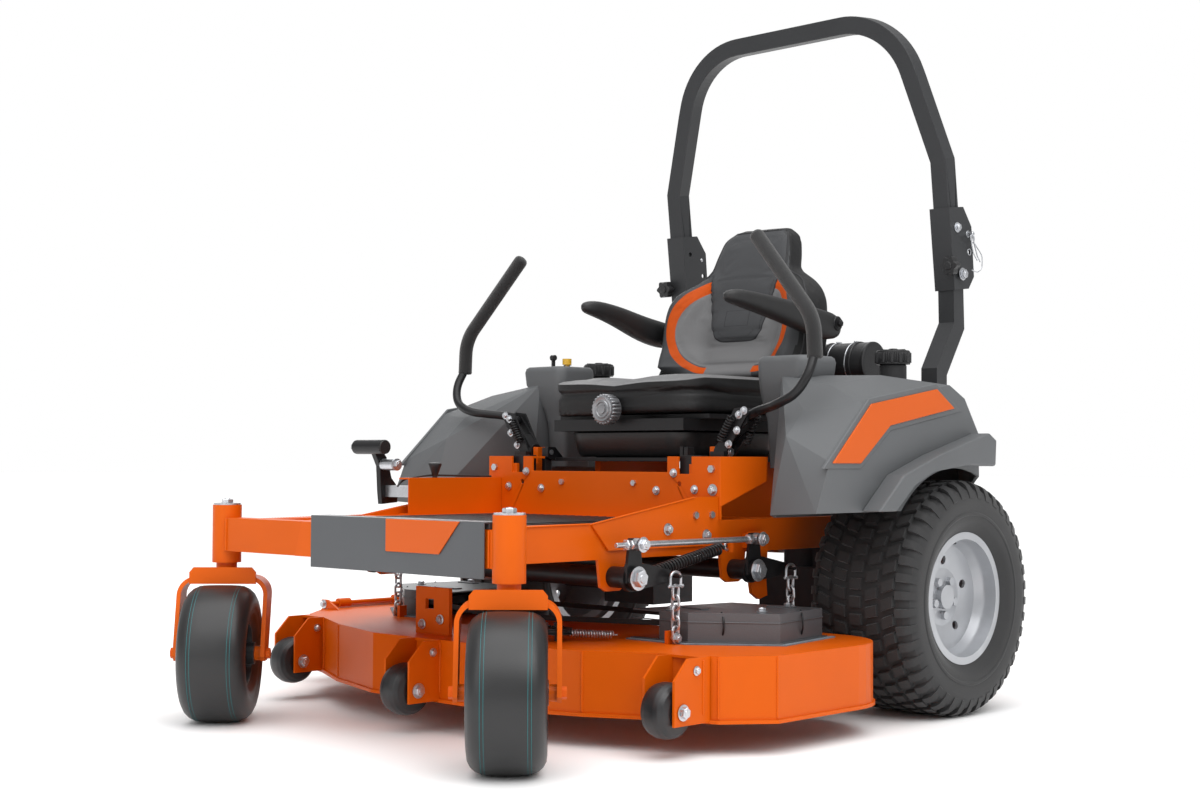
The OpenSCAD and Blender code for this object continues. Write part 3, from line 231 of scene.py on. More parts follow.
def makeMesh(name, shapes):
    pts, faces, base = [], [], 0
    for p, f in shapes:
        pts += [spot(*q) for q in p]
        faces += [tuple(base + i for i in g) for g in f]
        base += len(p)
    mesh = bpy.data.meshes.new(name)
    mesh.from_pydata(pts, [], faces)
    bm = bmesh.new()
    bm.from_mesh(mesh)
    bmesh.ops.recalc_face_normals(bm, faces=bm.faces)
    bm.to_mesh(mesh)
    bm.free()
    return mesh

def softEdges(obj, width, segments=2, angle=30):
    m = obj.modifiers.new("edges", "BEVEL")
    m.width = width / 1000
    m.segments = segments
    m.limit_method = "ANGLE"
    m.angle_limit = math.radians(angle)
    m.use_clamp_overlap = True
    m.harden_normals = True

def addPiece(name, shapes, material, body, edge=0.0, stands=(), smooth=35):
    obj = bpy.data.objects.new(name, makeMesh(name, shapes))
    scene.collection.objects.link(obj)
    obj.data.shade_smooth()
    obj.data.set_sharp_from_angle(angle=math.radians(smooth))
    obj.data.materials.append(finish[material])
    if edge:
        softEdges(obj, edge)
    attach(obj, body)
    if stands:
        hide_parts(*stands)
    return obj


# finishes

def srgb(r, g, b):
    def lin(c):
        c /= 255
        return c / 12.92 if c <= 0.04045 else ((c + 0.055) / 1.055) ** 2.4
    return lin(r), lin(g), lin(b), 1.0

finish, slotOf = {}, {}

# a finish can paint a highlight onto its convex edges, a lighter copy of its base colour, at a strength given per
# finish
def makeFinish(name, slot, colour, rough=0.5, metal=0.0, grain=(300, 0.1), spread=0.06, patchy=(6, 0.08),
               coat=0.0, coatRough=0.1, sheen=0.0, edgeHighlight=0.0, weave=None, shine=0.5):
    mat = bpy.data.materials.new(name)
    mat.use_nodes = True
    nodes, links = mat.node_tree.nodes, mat.node_tree.links
    shader = nodes["Principled BSDF"]
    shader.inputs["Metallic"].default_value = metal
    shader.inputs["Coat Weight"].default_value = coat
    shader.inputs["Coat Roughness"].default_value = coatRough
    shader.inputs["Sheen Weight"].default_value = sheen
    shader.inputs["Specular IOR Level"].default_value = shine
    where = nodes.new("ShaderNodeTexCoord").outputs["Object"]
    def cloud(scale, detail=3.0):
        n = nodes.new("ShaderNodeTexNoise")
        n.inputs["Scale"].default_value = scale
        n.inputs["Detail"].default_value = detail
        links.new(where, n.inputs["Vector"])
        return n.outputs["Fac"]
    broad, fine = cloud(patchy[0]), cloud(grain[0], 4.0)
    tone = nodes.new("ShaderNodeValToRGB")
    base = srgb(*colour)
    tone.color_ramp.elements[0].position, tone.color_ramp.elements[1].position = 0.3, 0.7
    tone.color_ramp.elements[0].color = [c * (1 - patchy[1]) for c in base[:3]] + [1]
    tone.color_ramp.elements[1].color = [min(1, c * (1 + patchy[1])) for c in base[:3]] + [1]
    links.new(broad, tone.inputs["Fac"])
    paintColour = tone.outputs["Color"]
    if edgeHighlight:
        # painted highlight: convex edges, found by their pointiness, get a lighter copy of the base colour, broken up
        # by the fine noise
        edge = nodes.new("ShaderNodeNewGeometry").outputs["Pointiness"]
        ramp = nodes.new("ShaderNodeValToRGB")
        ramp.color_ramp.elements[0].position, ramp.color_ramp.elements[1].position = 0.52, 0.62
        links.new(edge, ramp.inputs["Fac"])
        amount = nodes.new("ShaderNodeMath")
        amount.operation = "MULTIPLY"
        links.new(ramp.outputs["Color"], amount.inputs[0])
        links.new(fine, amount.inputs[1])
        mix = nodes.new("ShaderNodeMix")
        mix.data_type = "RGBA"
        links.new(amount.outputs[0], mix.inputs["Factor"])
        links.new(paintColour, mix.inputs["A"])
        # the painted highlight colour: the base colour made lighter
        mix.inputs["B"].default_value = [min(1, c * (1 + edgeHighlight) + edgeHighlight * 0.02) for c in base[:3]] + [1]
        paintColour = mix.outputs["Result"]
    links.new(paintColour, shader.inputs["Base Color"])
    gloss = nodes.new("ShaderNodeMapRange")
    gloss.inputs["To Min"].default_value = max(0.02, rough - spread)
    gloss.inputs["To Max"].default_value = min(1, rough + spread)
    links.new(fine, gloss.inputs["Value"])
    links.new(gloss.outputs["Result"], shader.inputs["Roughness"])
    height = fine
    if weave:
        cells = nodes.new("ShaderNodeTexVoronoi")
        cells.inputs["Scale"].default_value = weave
        links.new(where, cells.inputs["Vector"])
        add = nodes.new("ShaderNodeMath")
        add.operation = "ADD"
        links.new(cells.outputs["Distance"], add.inputs[0])
        links.new(fine, add.inputs[1])
        height = add.outputs[0]
    bump = nodes.new("ShaderNodeBump")
    bump.inputs["Strength"].default_value = grain[1]
    bump.inputs["Distance"].default_value = 0.001
    links.new(height, bump.inputs["Height"])
    links.new(bump.outputs["Normal"], shader.inputs["Normal"])
    finish[name], slotOf[name] = mat, slot
    return mat

# finishes given a highlight strength below get a painted highlight along their convex edges
makeFinish("orangePaint", "orange_paint", (208, 88, 0), 0.45, 0, (420, 0.10), 0.05, (5, 0.04), 0.06, 0.2,
           edgeHighlight=0.15, shine=0.15)
makeFinish("charcoalPaint", "charcoal_steel", (74, 76, 79), 0.42, 0.1, (380, 0.12), 0.06, (6, 0.06), 0.25, 0.25,
           edgeHighlight=0.3)
makeFinish("hoopPaint", "charcoal_steel", (48, 49, 51), 0.45, 0.1, (380, 0.14), 0.06, (6, 0.07), 0.1, 0.3,
           edgeHighlight=0.3, shine=0.35)
makeFinish("charcoalPlastic", "charcoal_plastic", (88, 90, 92), 0.55, 0, (900, 0.22), 0.07, (4, 0.06), 0.08,
           0.4, weave=1400, edgeHighlight=0.2)
makeFinish("orangeTrim", "orange_trim", (204, 86, 4), 0.36, 0, (300, 0.04), 0.04, (5, 0.03), 0.15, 0.12, shine=0.25)
makeFinish("tankPlastic", "tank_plastic", (34, 34, 36), 0.6, 0, (700, 0.25), 0.08, (8, 0.12))
makeFinish("engineMetal", "engine_metal", (120, 121, 124), 0.45, 0.85, (260, 0.35), 0.12, (20, 0.15))
makeFinish("blackPlastic", "black_plastic", (30, 30, 32), 0.48, 0, (900, 0.2), 0.08, (8, 0.12), 0.1, 0.3, weave=1500)
makeFinish("mufflerSteel", "muffler_steel", (96, 90, 84), 0.5, 0.8, (160, 0.3), 0.15, (18, 0.25))
makeFinish("darkCast", "dark_cast", (52, 53, 56), 0.6, 0.4, (340, 0.5), 0.1, (14, 0.18), edgeHighlight=0.4)
makeFinish("zincSteel", "zinc_steel", (196, 198, 202), 0.3, 0.9, (500, 0.12), 0.12, (30, 0.12), edgeHighlight=0.2)
makeFinish("tyreRubber", "tyre_rubber", (34, 34, 35), 0.72, 0, (520, 0.35), 0.1, (12, 0.18), sheen=0.15)
makeFinish("smoothRubber", "tyre_rubber", (27, 27, 28), 0.42, 0, (420, 0.12), 0.08, (10, 0.14), 0.1, 0.35)
makeFinish("tealLine", "tyre_rubber", (22, 92, 96), 0.5, 0, (300, 0.1), 0.05, (20, 0.1))
makeFinish("rimSilver", "rim_silver", (176, 178, 182), 0.36, 0.55, (360, 0.1), 0.07, (10, 0.06), 0.3, 0.2, edgeHighlight=0.15)
makeFinish("rimBlack", "rim_black", (36, 37, 39), 0.4, 0.2, (380, 0.12), 0.07, (10, 0.1), 0.2, 0.25)
makeFinish("blackPaint", "black_steel", (20, 20, 22), 0.42, 0.1, (420, 0.14), 0.08, (8, 0.12), 0.12, 0.25,
           edgeHighlight=0.5, shine=0.35)
makeFinish("gripFoam", "soft_black", (24, 24, 25), 0.85, 0, (1100, 0.55), 0.06, (12, 0.1), sheen=0.3, weave=1300)
makeFinish("armVinyl", "soft_black", (25, 25, 26), 0.55, 0, (700, 0.3), 0.07, (8, 0.1), 0.12, 0.4, weave=900)
makeFinish("seatSide", "seat_vinyl", (25, 25, 26), 0.5, 0, (600, 0.35), 0.08, (7, 0.08), weave=620, shine=0.35)
makeFinish("seatLight", "seat_vinyl", (112, 112, 113), 0.6, 0, (600, 0.4), 0.08, (7, 0.07), weave=560, shine=0.25)
makeFinish("seatFront", "seat_vinyl", (68, 69, 71), 0.55, 0, (600, 0.3), 0.06, (7, 0.05), weave=620, shine=0.2)
makeFinish("thread", "seat_vinyl", (44, 44, 46), 0.7, 0, (900, 0.4), 0.05, (20, 0.1))
makeFinish("knobMetal", "knob_metal", (150, 151, 154), 0.34, 0.7, (420, 0.2), 0.1, (20, 0.12))
makeFinish("beltRubber", "belt_rubber", (28, 28, 29), 0.8, 0, (600, 0.4), 0.06, (14, 0.12))
makeFinish("rollerPlastic", "roller_plastic", (28, 28, 30), 0.42, 0, (500, 0.2), 0.08, (9, 0.15), 0.15, 0.3)
makeFinish("knobYellow", "knob_yellow", (226, 176, 40), 0.35, 0, (400, 0.08), 0.05, (10, 0.05), 0.4, 0.15)
makeFinish("felt", "seat_vinyl", (104, 116, 126), 0.9, 0, (900, 0.6), 0.04, (40, 0.2), sheen=0.2)
makeFinish("studioFloor", "orange_paint", (250, 250, 250), 0.9, 0, (40, 0.02), 0.02, (1, 0.004))
print("finishes ready")


# frame pieces that keep their shape, by finish

cadFinish = {
    "orangePaint": ["main_frame", "front_beam", "control_plate", "floor_pan", "fork_left", "fork_right",
                    "deck_shell", "chute"],
    "charcoalPaint": ["beam_cover", "belt_covers"], "hoopPaint": ["rops_posts", "rops_hoop"],
    "charcoalPlastic": ["fender_left", "fender_right", "flares"],
    "tankPlastic": ["fuel_tanks"], "engineMetal": ["engine_block"],
    "blackPlastic": ["engine_shroud", "fuel_cap_left", "fuel_cap_right", "throttle_lever"],
    "mufflerSteel": ["muffler"], "darkCast": ["transaxles", "spindles", "blade_left", "blade_center", "blade_right"],
    "zincSteel": ["frame_bolts", "lift_rod"], "rimSilver": ["rim_rear_left", "rim_rear_right"],
    "rimBlack": ["rim_front_left", "rim_front_right"],
    "blackPaint": ["lever_base_left", "lever_base_right", "seat_platform", "seat_suspension", "lift_shaft_front",
                   "lift_shaft_rear", "lift_pedal"],
    "knobMetal": ["seat_knob"], "beltRubber": ["deck_belt"],
    "rollerPlastic": ["roller_left", "roller_center", "roller_right"], "knobYellow": ["pto_knob"],
}
cadEdge = {"flares": 5, "beam_cover": 2.0,
           "rops_hoop": 7, "rops_posts": 1.6, "belt_covers": 3.0, "deck_shell": 1.6, "fuel_tanks": 12,
           "engine_shroud": 5, "lift_pedal": 1.2, "fork_left": 1.5, "fork_right": 1.5}

# moulded covers get wide rounds on their long edges: new name, width, shortest edge rounded, least angle
moulded = {"fender_left": ("fender_skin_left", 26, 60, 6), "fender_right": ("fender_skin_right", 26, 60, 6)}

def mould(node, material, name, width, shortest, angle):
    obj = bpy.data.objects.new(name, frame["nodes"][node].data.copy())
    scene.collection.objects.link(obj)
    obj.data.name = name
    bm = bmesh.new()
    bm.from_mesh(obj.data)
    bmesh.ops.remove_doubles(bm, verts=bm.verts, dist=0.00002)
    bmesh.ops.dissolve_limit(bm, angle_limit=math.radians(1.0), verts=bm.verts, edges=bm.edges)
    mark = bm.edges.layers.float.new("bevel_weight_edge")
    for e in bm.edges:
        if len(e.link_faces) == 2 and e.calc_length() > shortest / 1000 and e.calc_face_angle(0) > math.radians(angle):
            big = all(f.calc_area() > 0.003 for f in e.link_faces)
            e[mark] = 1.0 if big and e.is_convex else 0.0
    bm.to_mesh(obj.data)
    bm.free()
    obj.data.materials.clear()
    obj.data.materials.append(finish[material])
    obj.data.shade_smooth()
    rounds = obj.modifiers.new("rounds", "BEVEL")
    rounds.width = width / 1000
    rounds.segments = 5
    rounds.limit_method = "WEIGHT"
    rounds.use_clamp_overlap = True
    rounds.harden_normals = True
    softEdges(obj, 1.2, 2, 40)
    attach(obj, "frame")
    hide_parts(node)

def dressNode(node, material, edge):
    obj = frame["nodes"][node]
    obj.data.materials.clear()
    obj.data.materials.append(finish[material])
    weld = obj.modifiers.new("weld", "WELD")
    weld.merge_threshold = 0.00002
    softEdges(obj, edge, 3 if edge > 4 else 2, 28)
    smooth = obj.modifiers.new("normals", "WEIGHTED_NORMAL")
    smooth.keep_sharp = True

for material, names in cadFinish.items():
    for n in names:
        if n in moulded:
            mould(n, material, *moulded[n])
        else:
            dressNode(n, material, cadEdge.get(n, 1.0))
print("frame dressed")


# camera, light and floor: the stand is in mm, the angles in degrees

view = {"stand": (3099.5, -3770.7, 632.2), "yaw": 43.489, "pitch": -1.965, "roll": 0.2577, "lens": 52.2}
yaw, pitch, roll = (math.radians(view[k]) for k in ("yaw", "pitch", "roll"))
ahead = Vector((-math.sin(yaw) * math.cos(pitch), math.cos(yaw) * math.cos(pitch), -math.sin(pitch)))
level = Vector((math.cos(yaw), math.sin(yaw), 0))
upright = level.cross(ahead)
right = level * math.cos(roll) + upright * math.sin(roll)
top = upright * math.cos(roll) - level * math.sin(roll)
camera = bpy.data.objects.new("camera", bpy.data.cameras.new("camera"))
camera.data.sensor_width = 36
camera.data.lens = view["lens"]
camera.matrix_world = Matrix.Translation(spot(*view["stand"])) @ Matrix((right, top, -ahead)).transposed().to_4x4()
scene.collection.objects.link(camera)
scene.camera = camera
scene.view_settings.view_transform = "Standard"

floorMesh = bpy.data.meshes.new("floor")
floorMesh.from_pydata([(-60, -60, 0), (60, -60, 0), (60, 60, 0), (-60, 60, 0)], [], [(0, 1, 2, 3)])
floor = bpy.data.objects.new("floor", floorMesh)
floor.data.materials.append(finish["studioFloor"])
floor.location.z = -0.0005
scene.collection.objects.link(floor)

studio = {"ambient": 0.5, "backdrop": 1.0}
world = bpy.data.worlds.new("studio")
world.use_nodes = True
glow = world.node_tree.nodes["Background"]
glow.inputs["Color"].default_value = (1, 1, 1, 1)
# the backdrop is seen as plain white, but lights the object more softly
seen = world.node_tree.nodes.new("ShaderNodeLightPath")
strength = world.node_tree.nodes.new("ShaderNodeMapRange")
strength.inputs["To Min"].default_value = studio["ambient"]
strength.inputs["To Max"].default_value = studio["backdrop"]
world.node_tree.links.new(seen.outputs["Is Camera Ray"], strength.inputs["Value"])
world.node_tree.links.new(strength.outputs["Result"], glow.inputs["Strength"])
scene.world = world

lamps = {
    "key": dict(at=(4200, -1500, 3600), size=3.2, power=66),
    "front": dict(at=(900, -5200, 2300), size=3.0, power=40),
    "above": dict(at=(-300, 200, 4600), size=4.5, power=20),
    "behind": dict(at=(-3600, 2600, 2600), size=2.6, power=45),
}
sky = bpy.data.lights.new("sky", "SUN")
sky.energy = 2.3
sky.angle = math.radians(70)
skyLamp = bpy.data.objects.new("sky", sky)
skyLamp.rotation_euler = Vector((-0.25, 0.2, -1)).to_track_quat("-Z", "Y").to_euler()
scene.collection.objects.link(skyLamp)
for n, lamp in lamps.items():
    light = bpy.data.lights.new(n, "AREA")
    light.shape = "SQUARE"
    light.size = lamp["size"]
    light.energy = lamp["power"]
    obj = bpy.data.objects.new(n, light)
    obj.location = spot(*lamp["at"])
    obj.rotation_euler = (spot(0, -400, 600) - obj.location).to_track_quat("-Z", "Y").to_euler()
    scene.collection.objects.link(obj)
print("camera and lights ready")


# rear tyres: a carcass with staggered tread blocks and shoulder bars

rearTyre = {"x": 647, "z": 292.5, "blocks": 42, "columns": (-92, -46, 0, 46, 92), "wide": 35, "long": 29}

def rearTyreShapes(side):
    t = rearTyre
    hub = (side * t["x"], 0, t["z"])
    section = [(152, -121), (158, -124), (168, -128), (184, -141), (196, -146), (204, -147), (207, -149.5),
               (212, -149.5),
               (215, -147.5), (236, -149), (252, -147), (266, -141), (276, -128), (281, -110), (283.5, -60), (284, 0)]
    section += [(r, -a) for r, a in reversed(section[:-1])]
    section += [(152, 100), (210, 128), (262, 118), (262, -118), (210, -128), (152, -100)]
    shapes = [lathe(section, hub, (side, 0, 0), 120, closed=True)]
    def block(a, c, lean):
        pts = []
        for r, shrink in ((281, 0), (292.3, 1.8)):
            for e in (-1, 1):
                for f in (-1, 1):
                    ang = a + f * (half - shrink / 290) + lean * e * t["wide"] / 580
                    along = c + e * (t["wide"] / 2 - shrink)
                    pts.append((hub[0] + side * along, hub[1] + math.cos(ang) * r, hub[2] + math.sin(ang) * r))
        return pts, [(0, 1, 3, 2), (4, 6, 7, 5), (0, 4, 5, 1), (2, 3, 7, 6), (0, 2, 6, 4), (1, 5, 7, 3)]
    half = t["long"] / 2 / 290
    for i in range(t["blocks"]):
        for k, c in enumerate(t["columns"]):
            a = 2 * math.pi * (i + 0.5 * (k % 2)) / t["blocks"]
            lean = (0.35, 0.22, 0.0, -0.22, -0.35)[k]
            shapes.append(block(a, c, lean))
        for s in (-1, 1):
            a = 2 * math.pi * (i + 0.5) / t["blocks"]
            h = half * 0.72
            pts = []
            # shoulder bar that runs from the tread down the side
            for r, tt in ((281, 114), (291.5, 114), (287, 127), (280, 137), (262, 146.5), (250, 149.2),
                          (246, 145), (262, 138), (272, 126)):
                for ang in (a - h, a + h):
                    pts.append((hub[0] + s * tt, math.cos(ang) * r, hub[2] + math.sin(ang) * r))
            n = 9
            faces = [(2 * j, 2 * ((j + 1) % n), 2 * ((j + 1) % n) + 1, 2 * j + 1) for j in range(n)]
            faces += [tuple(2 * j for j in range(n)), tuple(2 * j + 1 for j in reversed(range(n)))]
            shapes.append((pts, faces))
    return shapes

for side, n in ((1, "left"), (-1, "right")):
    addPiece("turf_tyre_" + n, rearTyreShapes(side), "tyreRubber", "wheel_rear_" + n, stands=["tyre_rear_" + n],
             smooth=28)
    valve = [rod((side * 700, 0, 292.5 + 128), (side * 738, 0, 292.5 + 134), 4.5, 12, 1),
             rod((side * 736, 0, 292.5 + 134), (side * 750, 0, 292.5 + 136), 3, 10, 1)]
    addPiece("valve_" + n, valve, "blackPlastic", "wheel_rear_" + n)


# caster tyres: smooth, with thin coloured moulding lines

swivel = math.radians(45)
casterWheel = {"trail": 65, "radius": 163, "half": 81}

def casterFrame(side):
    c, s = math.cos(swivel), math.sin(swivel)
    centre = Vector((side * 501 + casterWheel["trail"] * s, -1300 - casterWheel["trail"] * c, casterWheel["radius"]))
    return centre, Vector((c, s, 0))

for side, n in ((1, "left"), (-1, "right")):
    centre, axle = casterFrame(side)
    r, w = casterWheel["radius"], casterWheel["half"]
    section = [(76, -w + 16), (80, -w + 13), (90, -w + 8), (100, -w + 4), (104, -w + 4.6), (108, -w + 3),
               (123, -w + 0.2), (136, -w + 2),
               (147, -w + 8), (155, -w + 17), (159.5, -w + 27), (162, -w + 40), (162.9, -w + 60), (163, 0)]
    section += [(a, -t) for a, t in reversed(section[:-1])]
    section += [(76, w - 30), (143, w - 26), (143, -w + 26), (76, -w + 30)]
    addPiece("smooth_tyre_" + n, [lathe(section, centre, axle, 128, closed=True)], "smoothRubber", "wheel_front_" + n,
                    stands=["tyre_front_" + n], smooth=40)
    lines = []
    for t in (-w + 31, -w + 38, w - 38, w - 31):
        rr = 160.9 if abs(t) > 46 else 161.75
        lines.append(lathe([(rr - 1, t - 0.7), (rr + 0.22, t - 0.7), (rr + 0.22, t + 0.7), (rr - 1, t + 0.7)],
                           centre, axle, 128, closed=True))
    addPiece("tyre_lines_" + n, lines, "tealLine", "wheel_front_" + n)
print("tyres ready")


# seat: profiles are (height, depth or half width) in mm

def smoothstep(a, b, x):
    t = np.clip((x - a) / (b - a), 0, 1)
    return t * t * (3 - 2 * t)

def gridMesh(name, points, closedAcross=True):
    rows, cols = points.shape[:2]
    flat = points.reshape(-1, 3)
    verts = [spot(*p) for p in flat]
    faces = []
    for i in range(rows - 1):
        for j in range(cols if closedAcross else cols - 1):
            k = (j + 1) % cols
            faces.append((i * cols + j, i * cols + k, (i + 1) * cols + k, (i + 1) * cols + j))
    faces.append(tuple(range(cols - 1, -1, -1)))
    faces.append(tuple((rows - 1) * cols + j for j in range(cols)))
    mesh = bpy.data.meshes.new(name)
    mesh.from_pydata(verts, [], faces)
    obj = bpy.data.objects.new(name, mesh)
    scene.collection.objects.link(obj)
    return obj

seatBack = {"front": [(856, -8), (880, 8), (900, 24), (958, 50), (1022, 61), (1086, 74), (1140, 92),
                      (1200, 113), (1296, 150)],
            "rear": [(856, 96), (958, 138), (1086, 166), (1200, 206), (1296, 232)],
            "half": [(860, 222), (872, 240), (892, 256), (922, 262), (1000, 264), (1050, 262), (1080, 254),
                     (1108, 236), (1130, 212),
                     (1148, 184), (1160, 158), (1170, 143), (1182, 137), (1220, 130), (1260, 120), (1282, 108),
                     (1296, 88)],
            "arc": (88, 1010, 118, 124)}

def follow(table, z):
    zs, vs = zip(*table)
    return sum(np.interp(z + d, zs, vs) for d in (-9, -5, 0, 5, 9)) / 5

def bibEdge(x, z):
    # under 1 inside the head panel, whose lower end is rounded
    wide = 121 - 0.2 * np.clip(1150 - z, 0, 400)
    wide = np.where(z > 1165, 400, wide)
    drop = np.clip(1110 - z, 0, 400) / 142
    return (np.abs(x) / wide) ** 6 + drop ** 6

def arcEdge(x, z):
    cx, cz, a, b = seatBack["arc"]
    return np.sqrt((np.clip(np.abs(x) - cx, 0, 400) / a) ** 2 + ((z - cz) / b) ** 2)

def backShape():
    rows, cols = 150, 200
    zs = 860 + (1298 - 860) * (0.5 - 0.5 * np.cos(np.linspace(0, math.pi, rows)))
    out = np.zeros((rows, cols, 3))
    for i, z in enumerate(zs):
        half, yf, yb = follow(seatBack["half"], z), follow(seatBack["front"], z), follow(seatBack["rear"], z)
        edge = min(z - 860, 1298 - z)
        close = 1 - (1 - min(edge / 26, 1)) ** 2
        close = 0.35 + 0.65 * math.sqrt(max(0, close))
        mid, depth = (yf + yb) / 2, (yb - yf) / 2 * close
        half = half * (0.93 + 0.07 * math.sqrt(min(edge / 26, 1)))
        a = np.linspace(0, 2 * math.pi, cols, endpoint=False)
        c, s = np.cos(a), np.sin(a)
        p = 0.40
        x = half * np.sign(c) * np.abs(c) ** p
        y = mid + depth * np.sign(s) * np.abs(s) ** (p * 1.1)
        front = smoothstep(0.15, 0.8, -s) * min(1, edge / 40)
        bib, arc = bibEdge(x, np.full_like(x, z)), arcEdge(x, np.full_like(x, z))
        # the head panel stands proud, the bolsters outside the arcs swell and the seams are pressed in
        y = y - front * (5 * smoothstep(1.15, 0.85, bib) - 7 * np.exp(-((arc - 0.55) / 0.35) ** 2) * (z < 1150))
        y = y - front * 64 * smoothstep(105, 238, np.abs(x)) * smoothstep(1165, 1110, z) * smoothstep(858, 900, z)
        y = y + front * 3.0 * (np.exp(-((bib - 1) / 0.16) ** 2) * (z < 1160) + np.exp(-((arc - 0.87) / 0.02) ** 2) * (bib > 1.1) * (z < 1150))
        out[i, :, 0], out[i, :, 1], out[i, :, 2] = x, y, z
    return out

cushionTable = {"x": 263, "front": -453, "rear": 18, "low": 752, "high": 857}

def cushionShape():
    c = cushionTable
    rows, cols = 60, 200
    out = np.zeros((rows, cols, 3))
    a = np.linspace(0, 2 * math.pi, cols, endpoint=False)
    cy, hy = (c["front"] + c["rear"]) / 2, (c["rear"] - c["front"]) / 2
    for i in range(rows):
        v = i / (rows - 1)
        if v < 0.62:
            u = v / 0.62
            z = c["low"] + (c["high"] - 12 - c["low"]) * u
            inset = 9 * (1 - math.sqrt(max(0,
                                           1 - (1 - min(u / 0.18, 1)) ** 2))) + 7 * math.exp(-((u - 0.62) / 0.10) ** 2)
            shrink = 0.0
        else:
            u = (v - 0.62) / 0.38
            inset = 22 * (1 - math.cos(u * math.pi / 2)) * 0.9
            shrink = u
            z = c["high"] - 12 + 12 * math.sin(u * math.pi / 2)
        k = 1 - shrink ** 1.6 * 0.985
        co, si = np.cos(a), np.sin(a)
        p = 0.36
        x = (c["x"] - inset) * np.sign(co) * np.abs(co) ** p * k
        y = cy + (hy - inset) * np.sign(si) * np.abs(si) ** p * k
        out[i, :, 0], out[i, :, 1], out[i, :, 2] = x, y, z
    x, y, z = out[..., 0], out[..., 1], out[..., 2]
    top = smoothstep(c["low"] + 55, c["high"] - 8, z)
    # raised thighs and sides, lower middle, soft wave along the front edge
    dish = np.exp(-(x / 120) ** 2) * np.exp(-((y + 190) / 190) ** 2)
    z -= top * (16 * dish + 10 * smoothstep(-380, -455, y) + 7 * np.exp(-(x / 60) ** 2) * smoothstep(-250, -440, y))
    for s in (-1, 1):
        z -= top * 3.5 * np.exp(-((x - s * (112 + 20 * np.sin((y + 200) / 180))) / 3.2) ** 2) * smoothstep(-449,
            -400, y)
    z -= top * 3.5 * np.exp(-((y + 250 + 0.0010 * x * x) / 3.2) ** 2) * (np.abs(x) < 118)
    return out

def inflate(obj, cap, pressure):
    # a short cloth run swells the pad, held to within cap mm of its drawn shape
    rest = np.array([v.co for v in obj.data.vertices])
    cloth = obj.modifiers.new("cloth", "CLOTH")
    cloth.settings.use_pressure = True
    cloth.settings.uniform_pressure_force = pressure
    cloth.settings.quality = 4
    cloth.settings.mass = 0.4
    cloth.settings.tension_stiffness = 25
    cloth.settings.bending_stiffness = 2
    cloth.settings.effector_weights.gravity = 0
    for f in range(1, 13):
        scene.frame_set(f)
    dg = bpy.context.evaluated_depsgraph_get()
    now = np.array([v.co for v in obj.evaluated_get(dg).to_mesh().vertices])
    obj.modifiers.remove(cloth)
    scene.frame_set(1)
    step = now - rest
    far = np.linalg.norm(step, axis=1, keepdims=True)
    step = step * np.minimum(1, cap / 1000 / np.maximum(far, 1e-9))
    obj.data.vertices.foreach_set("co", (rest + step).ravel())
    obj.data.update()

def padFinish(obj, names, choose, body, node):
    for n in names:
        obj.data.materials.append(finish[n])
    for f in obj.data.polygons:
        c = f.center
        f.material_index = choose((c.x - originX) * 1000, (c.y - originY) * 1000, c.z * 1000, f.normal)
    obj.data.shade_smooth()
    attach(obj, body)
    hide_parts(node)

def fixNormals(obj):
    bm = bmesh.new()
    bm.from_mesh(obj.data)
    bmesh.ops.recalc_face_normals(bm, faces=bm.faces)
    bm.to_mesh(obj.data)
    bm.free()

cushion = gridMesh("seat_pad", cushionShape())
back = gridMesh("seat_back_pad", backShape())
for obj, cap in ((cushion, 3.0), (back, 3.0)):
    fixNormals(obj)
    inflate(obj, cap, 1.5)
padFinish(cushion, ["seatSide", "seatLight"], lambda x, y, z,
          n: 1 if n.z > 0.45 and z > 822 and (abs(x) > 118 or y < -255) else 0,
          "seat", "seat_cushion")

